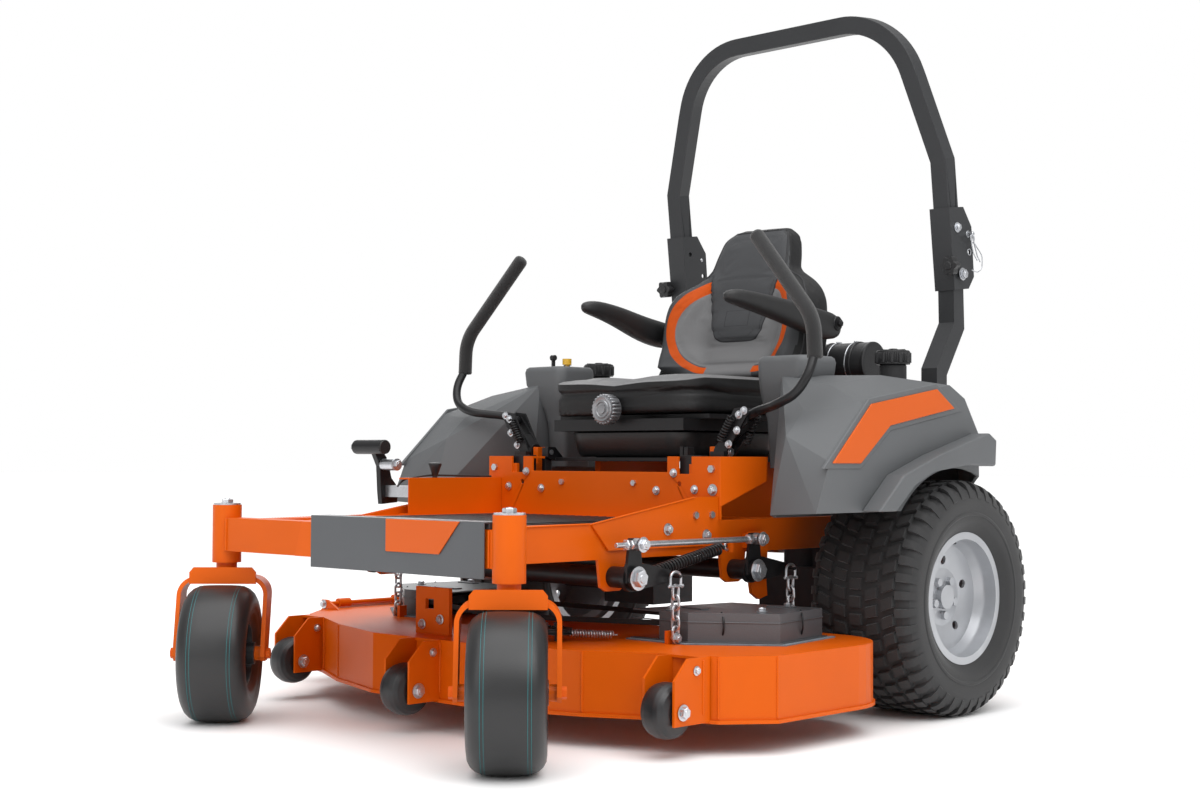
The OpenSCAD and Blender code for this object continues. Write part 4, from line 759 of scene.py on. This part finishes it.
def backFront():
    # the sewn zones of the seat back, drawn from the row position in mm
    mat = finish["seatFront"]
    nodes, links = mat.node_tree.nodes, mat.node_tree.links
    shader = nodes["Principled BSDF"]
    plain = shader.inputs["Base Color"].links[0].from_socket
    def reckon(op, *values):
        n = nodes.new("ShaderNodeMath")
        n.operation = op
        for k, v in enumerate(values):
            if isinstance(v, (int, float)):
                n.inputs[k].default_value = v
            else:
                links.new(v, n.inputs[k])
        return n.outputs[0]
    def under(v, edge, soft):
        # 1 where v is under the edge
        n = nodes.new("ShaderNodeMapRange")
        n.inputs["From Min"].default_value, n.inputs["From Max"].default_value = edge + soft, edge - soft
        links.new(v, n.inputs["Value"])
        return n.outputs["Result"]
    def near(v, edge, wide):
        return under(reckon("ABSOLUTE", reckon("SUBTRACT", v, edge)), wide, wide * 0.3)
    split = nodes.new("ShaderNodeSeparateXYZ")
    links.new(nodes.new("ShaderNodeTexCoord").outputs["Object"], split.inputs[0])
    x = reckon("ABSOLUTE", reckon("MULTIPLY", reckon("SUBTRACT", split.outputs[0], originX), 1000.0))
    z = reckon("MULTIPLY", split.outputs[2], 1000.0)
    cx, cz, a, b = seatBack["arc"]
    out = reckon("DIVIDE", reckon("MAXIMUM", reckon("SUBTRACT", x, cx), 0.0), a)
    arc = reckon("SQRT", reckon("ADD", reckon("POWER", out, 2.0),
                                reckon("POWER",
                                       reckon("ABSOLUTE", reckon("DIVIDE", reckon("SUBTRACT", z, cz), b)), 2.0)))
    wide = reckon("SUBTRACT", 121.0, reckon("MULTIPLY", reckon("MAXIMUM", reckon("SUBTRACT", 1150.0, z), 0.0), 0.2))
    drop = reckon("DIVIDE", reckon("MAXIMUM", reckon("SUBTRACT", 1110.0, z), 0.0), 142.0)
    bib = reckon("ADD", reckon("POWER", reckon("DIVIDE", x, wide), 6.0), reckon("POWER", drop, 6.0))
    clear = reckon("SUBTRACT", 1.0, under(bib, 1.0, 0.03))
    low = under(z, 1152.0, 1.0)
    # the arc band is widest at its top and thins out towards the cushion
    thick = reckon("ADD", 0.105, reckon("MULTIPLY", reckon("SUBTRACT", z, cz), 0.00028))
    band = under(reckon("DIVIDE", reckon("ABSOLUTE", reckon("SUBTRACT", arc, 1.0)), thick), 1.0, 0.06)
    band = reckon("MULTIPLY", reckon("MULTIPLY", band, clear),
                  reckon("MULTIPLY", low, reckon("SUBTRACT", 1.0, under(x, 84.0, 1.0))))
    inner = reckon("MULTIPLY", under(arc, 0.9, 0.01), low)
    base = reckon("MULTIPLY", under(x, 88.0, 1.0), under(z, 1010.0, 1.0))
    pale = reckon("MULTIPLY", reckon("MAXIMUM", inner, base), clear)
    seam = reckon("MULTIPLY", near(bib, 1.0, 0.09), low)
    box = reckon("MULTIPLY", near(reckon("MAXIMUM", reckon("DIVIDE", x, 1.9),
                                         reckon("ABSOLUTE", reckon("SUBTRACT", z, 1034.0))), 22.0, 0.8), 0.55)
    colour = plain
    for mask, tint in ((pale, srgb(112, 112, 113)), (band, srgb(190, 74, 0)),
                       (reckon("MAXIMUM", seam, box), srgb(40, 40, 42))):
        mix = nodes.new("ShaderNodeMix")
        mix.data_type = "RGBA"
        links.new(mask, mix.inputs["Factor"])
        links.new(colour, mix.inputs["A"])
        mix.inputs["B"].default_value = tint
        colour = mix.outputs["Result"]
    links.new(colour, shader.inputs["Base Color"])
backFront()

padFinish(back, ["seatSide", "seatFront"], lambda x, y, z, n: 1 if n.y < -0.45 and z < 1290 else 0, "seat",
          "seat_back")

def onBack(x, z, lift):
    where = back.ray_cast(back.matrix_world.inverted() @ spot(x, -400, z), Vector((0, 1, 0)))[1]
    p = back.matrix_world @ where
    return Vector(((p.x - originX) * 1000, (p.y - originY) * 1000 - lift, p.z * 1000))

# a cord sewn along the edge where the front of the back pad meets its sides
rim = []
for z in np.linspace(876, 1284, 60):
    half = follow(seatBack["half"], z) * 0.955
    rim.append(onBack(half, z, 1.0))
crown = [onBack(x, 1288, 0.6) for x in np.linspace(78, -78, 13)]
piping = rim + crown + [Vector((-p.x, p.y, p.z)) for p in reversed(rim)]
addPiece("seat_piping", [sweep(piping, 2.6, 8)], "thread", "seat", smooth=60)

def seamRun(points, gap=7.0):
    # a row of short stitches
    out = []
    for a, b in zip(points, points[1:]):
        a, b = Vector(a), Vector(b)
        count = max(1, int((b - a).length / gap))
        for k in range(count):
            p, q = a + (b - a) * (k + 0.15) / count, a + (b - a) * (k + 0.75) / count
            m = (p + q) / 2
            out.append(sweep([onBack(p.x, p.y, 0.2), onBack(m.x, m.y, 0.9), onBack(q.x, q.y, 0.2)], 0.6, 5))
    return out

stitches = []
for s in (-1, 1):
    stitches += seamRun([(s * (112 - 0.2 * (1150 - z)), z) for z in range(1000, 1150, 14)])
stitches += seamRun([(x, 979 + 0.0000012 * x ** 4) for x in range(-66, 67, 12)])
addPiece("seat_stitches", stitches, "thread", "seat")

def loft(path, sizes, steps=28):
    # a padded bar along a path, with its own half width and half height at each point
    pts = [Vector(p) for p in path]
    n = len(pts)
    out, faces = [], []
    for i, (p, (wide, high)) in enumerate(zip(pts, sizes)):
        t = (pts[min(i + 1, n - 1)] - pts[max(i - 1, 0)]).normalized()
        side = t.cross(Vector((0, 0, 1))).normalized()
        up = side.cross(t)
        for k in range(steps):
            a = 2 * math.pi * k / steps
            c, w = math.cos(a), math.sin(a)
            c, w = math.copysign(abs(c) ** 0.75, c), math.copysign(abs(w) ** 0.75, w)
            out.append(tuple(p + side * c * wide + up * w * high))
    for i in range(n - 1):
        for k in range(steps):
            j = (k + 1) % steps
            faces.append((i * steps + k, i * steps + j, (i + 1) * steps + j, (i + 1) * steps + k))
    return out, faces + [tuple(range(steps - 1, -1, -1)), tuple((n - 1) * steps + k for k in range(steps))]

# armrests: padded bars, deep at the hinge, that lean inwards to a rounded tip
armTable = {"path": [(297, 128, 996), (297, 118, 996), (297, 90, 998), (296, 40, 1003), (292, -20, 1013),
                     (284, -80, 1026), (272, -140, 1038),
            (263, -200, 1048), (258, -250, 1055), (256, -285, 1057), (255, -300, 1056), (255, -306, 1055)],
            "sizes": [(10, 12), (21, 28), (25, 38), (26, 39), (27, 37), (28, 33), (28, 29), (28, 25), (27, 22),
                      (22, 18), (13, 11), (5, 4)]}
for side, n in ((1, "left"), (-1, "right")):
    arm = addPiece("arm_pad_" + n, [loft([(side * x, y, z) for x, y, z in armTable["path"]],
                                         armTable["sizes"])], "armVinyl", "armrest_" + n,
                   stands=["armrest_" + n], smooth=60)
    sub = arm.modifiers.new("smooth", "SUBSURF")
    sub.levels = sub.render_levels = 1
    hinge = [rod((side * 272, 95, 1005), (side * 324, 95, 1005), 20, 28, 2),
             *bolt((side * 324, 95, 1005), (side, 0, 0), 17, 8)]
    addPiece("arm_hinge_" + n, hinge, "blackPaint", "armrest_" + n)
print("seat ready")


# consoles: rows are (z, x0, x1, y0, y1, corner radius)

consoleTable = {"rows": [(613, 362, 430, -262, -160, 14), (735, 358, 434, -272, -156, 18),
                         (775, 352, 440, -286, -152, 22),
                         (815, 348, 478, -298, -150, 28), (845, 346, 500, -301, -149, 30),
                         (880, 345, 506, -301, -149, 30),
                         (891, 348, 503, -298, -152, 28), (896, 355, 496, -291, -159, 22)]}

def consoleShell():
    rings = [[(x, y, z) for x, y in roundRect(x0, x1, y0, y1, r, 7)] for z, x0, x1, y0, y1, r in consoleTable["rows"]]
    n, rows = len(rings[0]), len(rings)
    faces = [(i * n + k, i * n + (k + 1) % n, (i + 1) * n + (k + 1) % n,
              (i + 1) * n + k) for i in range(rows - 1) for k in range(n)]
    return [p for ring in rings for p in ring], faces + [tuple(reversed(range(n))),
        tuple((rows - 1) * n + k for k in range(n))]

consoleSkin = addPiece("console_skins", both([consoleShell()]), "charcoalPlastic", "frame", stands=["consoles"],
                       smooth=50)
# openings for the throttle lever and the clutch knob
cutter = bpy.data.objects.new("cutter", makeMesh("cutter",
                                                 [boxShape(-450, -440, -260, -200, 840, 930),
                                                  rod((-390, -230, 840), (-390, -230, 930), 6.3, 32)]))
scene.collection.objects.link(cutter)
cut = consoleSkin.modifiers.new("cut", "BOOLEAN")
cut.operation = "DIFFERENCE"
cut.object = cutter
done = bpy.data.meshes.new_from_object(consoleSkin.evaluated_get(bpy.context.evaluated_depsgraph_get()))
consoleSkin.modifiers.remove(cut)
consoleSkin.data = done
bpy.data.objects.remove(cutter)

trimTable = {"side": [(-520, 626), (-366, 766), (-84, 810), (-4, 764), (-288, 716), (-409, 626)],
             "front": [(150, 431), (325, 431), (390, 502), (150, 502)]}

def grown(outline, by):
    # the outline moved outwards
    n = len(outline)
    turn = sum(a[0] * b[1] - b[0] * a[1] for a, b in zip(outline, outline[1:] + outline[:1]))
    out = []
    for i in range(n):
        a, b, c = (Vector(outline[k % n]) for k in (i - 1, i, i + 1))
        u, v = (b - a).normalized(), (c - b).normalized()
        m, w = Vector((u.y, -u.x)), Vector((v.y, -v.x))
        step = (m + w) / (1 + m.dot(w)) * by * (1 if turn > 0 else -1)
        out.append(tuple(b + step))
    return out

trim = both([prism(trimTable["side"], "x", 744, 751)]) + [prism(trimTable["front"], "y", -1339, -1335)]
addPiece("trim_skins", trim, "orangeTrim", "frame", stands=["trim_panels"], edge=3.0)
addPiece("trim_surrounds", both([prism(grown(trimTable["side"], 13), "x", 738, 747.5)]), "charcoalPlastic",
         "frame", edge=3.0)

# steering levers

leverTable = {"rod": 11.5, "grip": 19,
              "rodPath": [(423, -413, 743), (450, -413, 754), (540, -466, 764), (600, -461, 790), (624, -443, 838),
                          (620, -413, 890), (617, -413, 930)],
              "gripPath": [(620, -413, 884), (616, -413, 973), (423, -385, 1188)],
              "plate": [(330, 650), (352, 640), (366, 652), (436, 748), (428, 764), (392, 760)]}
for side, n in ((1, "left"), (-1, "right")):
    rodPath = bend(leverTable["rodPath"], 34, 6)
    gripPath = bend(leverTable["gripPath"], 46, 8)
    count = len(gripPath)
    grip = sweep(gripPath, leverTable["grip"], 24)
    ends = [lathe([(19, 0), (18, 5), (14.5, 9.5), (8, 12.4), (1, 13.2)], gripPath[-1], gripPath[-1] - gripPath[-2], 24),
            lathe([(19, -1), (19.4, 4), (17, 8), (12, 9)], gripPath[0], gripPath[0] - gripPath[1], 24)]
    eye = [rod((412, -424.5, 740), (412, -401.5, 740), 12.8, 28, 1)]
    shapes = [sweep(rodPath, leverTable["rod"], 20)] + eye
    gripShapes = [grip] + ends
    if side < 0:
        shapes, gripShapes = [mirrored(s) for s in shapes], [mirrored(s) for s in gripShapes]
    addPiece("lever_rod_" + n, shapes, "blackPaint", "lever_" + n, stands=["lever_" + n], smooth=50)
    addPiece("lever_grip_" + n, gripShapes, "gripFoam", "lever_" + n, smooth=50)
    # springs, side plates and bolts of the base
    base = [coil((392, -391, 668), (432, -389, 752), 9, 2.1, 9, 7),
            coil((352, -446, 676), (396, -446, 744), 9, 2.3, 9, 7),
            prism(leverTable["plate"], "y", -437, -431.4), prism(leverTable["plate"], "y", -394.6, -389),
            prism([(328, 640), (372, 640), (372, 654), (328, 654)], "y", -452, -437)]
    heads = bolt((352.5, -413, 652), (1, 0, 0), 22, 10) + bolt((412, -389, 740), (0, 1, 0), 16, 8)
    for x, z in ((408, 744), (424, 754), (402, 706), (376, 672)):
        heads += bolt((x, -437, z), (0, -1, 0), 13, 6)
    if side < 0:
        base, heads = [mirrored(s) for s in base], [mirrored(s) for s in heads]
    addPiece("lever_springs_" + n, base, "blackPaint", "lever_base_" + n, edge=1.0)
    addPiece("lever_heads_" + n, heads, "zincSteel", "lever_base_" + n)
addPiece("notch_backs", both([boxShape(268, 338, -497, -470, 596, 644)]), "blackPaint", "frame", edge=1.0)
addPiece("hinge_blocks", both([boxShape(246.6, 259.4, -457.4, -432.6, 489, 664.4)]), "blackPaint", "frame", edge=1.0)
print("levers ready")


# deck lift: springs, chains and pedal

liftSprings = both([coil((446.5, -834, 369), (446.5, -531, 427), 12, 3.2, 26, 26, 12)])
addPiece("assist_springs", liftSprings, "blackPaint", "frame", stands=["lift_springs"])
hooks = both([ringShape((446.5, -836, 369), (1, 0, 0), 9, 3), ringShape((446.5, -529, 427), (1, 0, 0), 9, 3)])
addPiece("spring_hooks", hooks, "zincSteel", "frame")

chains = []
for y in (-880, -450):
    yc, xc = y + 120 - 5.5, 489
    shackle = [(xc, yc - 18, 345), (xc, yc - 18, 366), (xc, yc - 12, 375), (xc, yc, 378.2), (xc, yc + 12, 375),
               (xc, yc + 18, 366), (xc, yc + 18, 345)]
    chains.append(sweep(bend(shackle, 9, 3), 3.4, 10))
    chains.append(rod((xc, yc - 24, 345), (xc, yc + 24, 345), 3.6, 12, 1))
    chains += bolt((xc, yc + 21, 345), (0, 1, 0), 9, 4, False)
    for k in range(5):
        across = (1, 0, 0) if k % 2 else (0, 1, 0)
        chains.append(link((xc, yc, 331 - 23.5 * k), (0, 0, 1), across, 34, 20, 3.3))
    chains += bolt((xc + 2, yc, 227), (1, 0, 0), 17, 8)
    chains.append(rod((xc - 11, yc, 227), (xc + 4, yc, 227), 5, 16, 1))
addPiece("deck_chains", both(chains), "zincSteel", "deck", stands=["lift_chains"])

pedal = []
for i in range(18):
    a = 2 * math.pi * i / 18
    pedal.append(rod((-554, -856 + 16.5 * math.cos(a), 663 + 16.5 * math.sin(a)),
                     (-440, -856 + 16.5 * math.cos(a), 663 + 16.5 * math.sin(a)), 2.6, 8, 1))
addPiece("pedal_pad", pedal + [rod((-557, -856, 663), (-553, -856, 663), 18.5, 32, 1.5),
                               rod((-441, -856, 663), (-437, -856, 663), 18.5, 32, 1.5)],
         "smoothRubber", "lift_pedal")
addPiece("pedal_hardware", [*bolt((-557, -856, 663), (-1, 0, 0), 20, 10), *bolt((-420, -832, 617), (1, 0, 0), 20, 8),
                            rod((-474, -832, 617), (-421, -832, 617), 15.6, 32, 2),
                            *bolt((-490, -812, 575), (-1, 0, 0), 16, 8),
                            lathe([(26, 0), (26, 3), (22, 4.5), (12, 4.5)], (-490, -810, 547), (-1, 0, 0), 32)],
         "zincSteel", "lift_pedal")
rodBits = [*bolt((492, -450, 443), (1, 0, 0), 22, 10), *bolt((492, -880, 443), (1, 0, 0), 22, 10),
           hexNut((476, -866, 443), (0, 1, 0), 19, 10), hexNut((476, -896, 443), (0, -1, 0), 19, 10),
           hexNut((476, -911, 443), (0, -1, 0), 22, 10),
           rod((476, -952, 443), (476, -890, 443), 5.8, 16, 1), hexNut((476, -476, 443), (0, -1, 0), 22, 12)]
addPiece("rod_nuts", rodBits, "zincSteel", "lift_rod")
for y, body in ((-880, "lift_shaft_front"), (-450, "lift_shaft_rear")):
    addPiece(body + "_bolts", [*bolt((478, y, 367), (1, 0, 0), 34, 12),
                               *bolt((-468, y, 367), (-1, 0, 0), 34, 12)], "zincSteel", body)
print("lift ready")


# roll hoop hardware, turned with the hoop's lean

lean = math.radians(7)
hoopTurn = Matrix.Translation((0, 400, 1150)) @ Matrix.Rotation(lean, 4, "X") @ Matrix.Translation((0, -400, -1150))

def onHoop(shapes):
    return [moved(s, hoopTurn) for s in shapes]

hoopBits = []
for y, z in ((455, 1210), (455, 1260), (400, 1280)):
    hoopBits += bolt((515.8, y, z), (1, 0, 0), 18, 8) if (y, z) == (400,
        1280) else [ringShape((516, y, z), (1, 0, 0), 8.4, 1.2)]
hoopBits += bolt((523, 400, 1150), (1, 0, 0), 22, 10) + [rod((452, 455, 1260), (534, 455, 1260), 6, 18, 1.5)]
# hairpin through the locking pin
hoopBits.append(ringShape((529, 455, 1246), (1, 0.15, 0), 12, 1.8))
hoopBits.append(sweep([(529, 455, 1258), (530, 461, 1230), (532, 470, 1196), (533, 480, 1180)], 1.7, 8))
hoopBits.append(sweep([(529, 449, 1258), (530, 447, 1230), (531, 452, 1205), (533, 466, 1184)], 1.7, 8))
hoopShapes = onHoop(both(hoopBits))
addPiece("hoop_pins", hoopShapes, "zincSteel", "frame")
lanyard = onHoop(both([sweep(bend([(529, 440, 1160), (538, 452, 1150), (540, 476, 1160), (539, 484, 1196),
                                   (534, 470, 1218), (530, 458, 1236)], 20, 5), 1.6, 8)]))
addPiece("hoop_lanyards", lanyard, "zincSteel", "frame")
knobTable = {"x": 520, "z": 1176, "radius": 24, "lobe": 3.4}
lobes = []
for i in range(48):
    a = 2 * math.pi * i / 48
    r = knobTable["radius"] + knobTable["lobe"] * math.cos(6 * a)
    lobes.append((knobTable["x"] + r * math.cos(a), knobTable["z"] + r * math.sin(a)))
knobShapes = [prism(lobes, "y", 334, 356),
              rod((knobTable["x"], 330, knobTable["z"]), (knobTable["x"], 368, knobTable["z"]), 12, 24, 2)]
addPiece("hoop_knobs", onHoop(both(knobShapes)), "blackPlastic", "frame", edge=1.5)
caps = both([prism(roundRect(462, 506, 295, 339, 4), "z", 447, 452)])
addPiece("post_feet", caps, "blackPaint", "frame")

# engine and fuel details

shroud = []
for i in range(44):
    a = 2 * math.pi * i / 44
    u = Vector((math.cos(a), math.sin(a), 0))
    shroud.append(sweep([Vector((0, 300, 828.5)) + u * 50, Vector((0, 300, 829.5)) + u * 95,
                         Vector((0, 300, 828)) + u * 138], 2.2, 6))
for r in (52, 78, 104, 130):
    shroud.append(ringShape((0, 300, 829), (0, 0, 1), r, 2.0, 64, 8))
shroud.append(lathe([(48, 0), (48, 4), (44, 7), (20, 8.5), (0.5, 8.8)], (0, 300, 827), (0, 0, 1), 48))
addPiece("fan_grille", shroud, "blackPlastic", "frame", smooth=50)
fins = []
for i in range(26):
    a = math.radians(205 + 130 * i / 25)
    u = Vector((math.cos(a), math.sin(a), 0))
    for z in (722, 734, 746, 758, 770, 782):
        c = Vector((0, 300, z)) + u * 194.5
        v = Vector((-u.y, u.x, 0))
        fins.append(sweep([c - v * 7, c, c + v * 7], 2.1, 6))
addPiece("shroud_louvres", fins, "blackPlastic", "frame")
filterBits = [lathe([(40, -3), (56, -3), (60, 1), (60, 9), (56, 12), (52, 12)], (335, 235, 902), (1, 0, 0), 56),
              ringShape((300, 235, 902), (1, 0, 0), 59.5, 2.6, 56, 8),
              ringShape((205, 235, 902), (1, 0, 0), 59.5, 2.6, 56, 8)]
for i in range(20):
    a = 2 * math.pi * i / 20
    filterBits.append(sweep([(338, 235 + 16 * math.cos(a), 902 + 16 * math.sin(a)),
                             (338.5, 235 + 48 * math.cos(a), 902 + 48 * math.sin(a))], 1.6, 6))
addPiece("air_filter_details", filterBits, "blackPlastic", "frame", smooth=50)
clamps = [ringShape((x, 235, 902), (1, 0, 0), 59.6, 1.6, 56, 6) for x in (225, 285)]
for x in (225, 285):
    clamps.append(rod((x, 225, 963), (x, 246, 963), 3, 12, 0.5))
clamps += [lathe([(34, 0), (38, 3), (38, 78), (34, 84), (12, 86)], (-150, 440, 600), (-0.2, 0.9, -0.25), 40)]
addPiece("engine_clamps", clamps, "zincSteel", "frame")
leads = []
for s in (1, -1):
    leads.append(sweep(bend([(s * 205, 130, 668), (s * 222, 112, 700), (s * 190, 150, 735),
                             (s * 120, 210, 742)], 30, 5), 4.2, 12))
    leads.append(rod((s * 196, 140, 662), (s * 212, 118, 674), 9, 16, 2))
addPiece("spark_leads", leads, "blackPlastic", "frame")
capStar = []
for i in range(6):
    a = math.pi * i / 3
    u, v = Vector((math.cos(a), math.sin(a), 0)), Vector((-math.sin(a), math.cos(a), 0))
    c = Vector((530, 50, 0))
    outline = [c + u * 6 - v * 5, c + u * 35 - v * 3.4, c + u * 38, c + u * 35 + v * 3.4, c + u * 6 + v * 5]
    capStar.append(prism([(p.x, p.y) for p in outline], "z", 917.5, 923))
capStar.append(lathe([(14, 0), (14, 6), (10, 8.5), (0.5, 9)], (530, 50, 917), (0, 0, 1), 32))
capStar.append(ringShape((530, 50, 918), (0, 0, 1), 40.5, 2.4, 60, 10))
for i in range(60):
    a = 2 * math.pi * i / 60
    u = Vector((math.cos(a), math.sin(a), 0)) * 47
    if i % 5:
        capStar.append(rod(Vector((530, 50, 888)) + u * 0.95, Vector((530, 50, 915)) + u * 0.95, 1.7, 8, 0.5))
for side, n in ((1, "left"), (-1, "right")):
    addPiece("cap_ribs_" + n, capStar if side > 0 else [mirrored(s) for s in capStar], "blackPlastic",
             "fuel_cap_" + n, smooth=45)
print("hoop and engine ready")


# deck details

def weld(points, r=3.2, step=4.2):
    # a bead of overlapping drops along a line
    pts = [Vector(p) for p in points]
    out = []
    for a, b in zip(pts, pts[1:]):
        n = max(2, int((b - a).length / step))
        path = [a + (b - a) * i / n for i in range(n + 1)]
        out.append(sweep(path, [r * (0.82 + 0.3 * (i % 2)) for i in range(n + 1)], 8))
    return out

deckTable = {"outline": [(200, -1085), (430, -1010), (600, -925), (715, -885), (797, -785), (797, -485)]}
beads = []
for x, y in deckTable["outline"][1:5]:
    beads += weld([(x, y - 0.5, 80), (x, y - 0.5, 210)], 2.6)
beads = both(beads)
for x, y in ((655, -985), (-655, -985), (0, -1152)):
    for s in (-1, 1):
        beads += weld([(x + s * 45.5, y + 66, 92), (x + s * 45.5, y + 66, 206)], 2.4)
addPiece("deck_welds", beads, "orangePaint", "deck", smooth=60)
deckBits = []
for x, y in ((655, -985), (-655, -985), (0, -1152)):
    for s in (-1, 1):
        deckBits += bolt((x + s * 46.5, y, 102), (s, 0, 0), 22, 9)
        deckBits += bolt((x + s * 45.5, y + 44, 186), (s, 0, 0), 13, 5)
for s in (-1, 1):
    for x, y in ((505, -600),):
        for i in range(4):
            a = math.radians(45 + 90 * i)
            deckBits += bolt((s * x + 66 * math.cos(a), y + 66 * math.sin(a), 223), (0, 0, 1), 13, 6)
for i in range(4):
    a = math.radians(45 + 90 * i)
    deckBits += bolt((66 * math.cos(a), -790 + 66 * math.sin(a), 223), (0, 0, 1), 13, 6)
for x, y in ((420, -700), (600, -590), (560, -440)):
    deckBits += bolt((x, y, 283.2), (0, 0, 1), 16, 7) + bolt((-x, y, 283.2), (0, 0, 1), 16, 7)
for y in (-756, -444):
    deckBits += bolt((-805, y - 12 if y < -600 else y + 14, 227), (0, -1 if y < -600 else 1, 0), 15, 7)
deckBits += bolt((-40, -1010.5, 250), (0, -1, 0), 15, 6) + bolt((-105, -1010.5, 235), (0, -1, 0), 15, 6)
addPiece("deck_bolts", deckBits, "zincSteel", "deck")
# folded hem, seam and clips of the belt covers
def coverLine(d):
    return [(330, -735 + d), (500 - 0.4 * d, -735 + d), (668 - d, -610), (632 - d, -400 - d), (380, -430 - d)]
hem = []
outer = coverLine(-9)
inner = coverLine(3)
hem.append(prism(outer + inner[::-1], "z", 214, 218))
for a, b in zip(coverLine(-0.8), coverLine(-0.8)[1:]):
    hem.append(sweep([(a[0], a[1], 262), (b[0], b[1], 262)], 1.5, 8))
hem.append(prism([(398, -640), (470, -652), (474, -628), (402, -616)], "z", 282, 286))
hem.append(prism([(520, -470), (590, -462), (588, -440), (518, -448)], "z", 282, 286))
addPiece("cover_hems", both(hem), "charcoalPaint", "deck", edge=1.0)
clips = []
for x, y in ((560, -684), (650, -505)):
    clips += [sweep(bend([(x, y, 230), (x + 10, y - 8, 246), (x + 8, y - 6, 270), (x - 8, y + 6, 284)], 8, 4), 2.4, 10)]
addPiece("cover_clips", both(clips), "blackPaint", "deck")
pad = both([prism([(332, -762), (512, -762), (694, -622), (652, -376), (640, -376), (680, -618), (506, -750),
                   (332, -750)], "z", 213.2, 216)])
addPiece("deck_grip_strips", pad, "felt", "deck")
# idler pulley beside the cover
idler = [lathe([(8, -7), (34, -7), (34, -5), (29, -3), (29, 3), (34, 5), (34, 7), (8, 7)], (250, -905, 236),
               (0, 0, 1), 48)]
addPiece("idler_pulley", idler + [rod((250, -905, 213), (250, -905, 250), 8, 20, 1)] + bolt((250, -905, 246),
    (0, 0, 1), 18, 8), "blackPaint", "deck")
addPiece("idler_spring", [coil((262, -893, 232), (340, -800, 226), 8, 1.9, 16, 10)], "zincSteel", "deck")
print("deck ready")


# frame hardware and controls

# welds where the beam meets the barrels, and along the frame's seams
seams = both(weld([(467, -1326, 409), (467, -1326, 485)], 2.8) + weld([(402, -1275, 485), (402, -960, 488)], 2.0)
             + weld([(406.5, -955, 488), (406.5, -604, 543)], 2.2))
addPiece("frame_welds", seams, "orangePaint", "frame", smooth=60)
hardware = []
for s in (-1, 1):
    hardware += bolt((s * 501, -1300, 522), (0, 0, 1), 26, 10, False)
    for y, z in ((-700, 470), (-560, 452)):
        hardware += bolt((s * 406.5, y, z), (s, 0, 0), 18, 8)
    for y, z in ((285, 590), (285, 520), (375, 590)):
        hardware += bolt((s * 408.5, y, z), (s, 0, 0), 20, 9)
    for x, z in ((205, 556), (262, 600), (330, 560)):
        hardware += bolt((s * x, -512.5, z), (0, -1, 0), 14, 6)
    hardware += bolt((s * 388, -512.5, 560), (0, -1, 0), 18, 8)
hardware += bolt((-401, -590, 535), (-1, 0, 0), 16, 7) + bolt((-401, -540, 560), (-1, 0, 0), 16, 7)
addPiece("frame_hardware", hardware, "zincSteel", "frame")
knob = [lathe([(7, 0), (7, 4), (9, 8), (15, 26), (18, 34), (17, 38), (10, 40), (0.5, 40.5)], (-380, -735, 583),
              (0, 0, 1), 32),
        rod((-380, -735, 574), (-380, -735, 590), 5, 16)]
addPiece("step_knob", knob, "blackPlastic", "frame", smooth=50)
cable = sweep(bend([(-372, -540, 586), (-380, -640, 588), (-384, -760, 590), (-396, -830, 578),
                    (-400, -846, 560)], 40, 6), 2.6, 10)
addPiece("step_cable", [cable], "blackPlastic", "frame")
mat = [boxShape(-296, 296, -1200, -560, 484.2, 487)]
for x in range(-280, 281, 28):
    mat.append(boxShape(x - 5, x + 5, -1190, -570, 486.5, 489.5))
addPiece("foot_mat", mat, "smoothRubber", "frame", edge=0.8)
dash = [lathe([(0.5, 9), (9, 8.6), (10, 6), (10, 0)], (-440, -180, 897), (0, 0, 1), 28),
        prism(roundRect(-436, -432, -192, -168, 1.5), "z", 905, 916)]
addPiece("ignition_switch", dash, "blackPlastic", "frame", smooth=50)
cup = lathe([(38, 0), (40, 3), (34, 3.4), (33, -0.5), (1, -0.5)], (424, -215, 893.8), (0, 0, 1), 48)
addPiece("cup_ring", [cup], "blackPlastic", "frame", smooth=50)
pan = [(640, -6), (648, 2), (664, 8), (684, 13), (696, 15), (703, 15), (706, 11)]
pan += [(z, grow - 5) for z, grow in reversed(pan)]
rows = [[(x, y, z) for x, y in roundRect(-202 - grow, 202 + grow, -404 - grow, -22 + grow, 56 + grow, 8)] for z,
        grow in pan]
n, m = len(rows[0]), len(rows)
pts = [p for row in rows for p in row]
faces = [(i * n + k, i * n + (k + 1) % n, (i + 1) % m * n + (k + 1) % n,
          (i + 1) % m * n + k) for i in range(m) for k in range(n)]
skirt = addPiece("seat_skirt", [(pts, faces)], "smoothRubber", "seat_base", smooth=50)
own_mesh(skirt)
rings = [lathe([(33, 0), (33.5, 2), (31, 3.4), (28, 2.2), (24, 1.2), (22, 3.2), (19, 3.2), (17, 1.0), (13, 1.0),
                (12, 4.4), (5, 5.0), (0.5, 5.0)],
               (0, -495.2, 763), (0, -1, 0), 48)]
addPiece("knob_rings", rings, "knobMetal", "seat_knob", smooth=40)
flutes = []
for i in range(24):
    a = 2 * math.pi * i / 24
    flutes.append(rod((36.5 * math.cos(a), -494, 763 + 36.5 * math.sin(a)),
                      (36.5 * math.cos(a), -464, 763 + 36.5 * math.sin(a)), 3.4, 10, 1))
addPiece("knob_flutes", flutes, "knobMetal", "seat_knob", smooth=50)
print("frame details ready")

scene.frame_set(1)
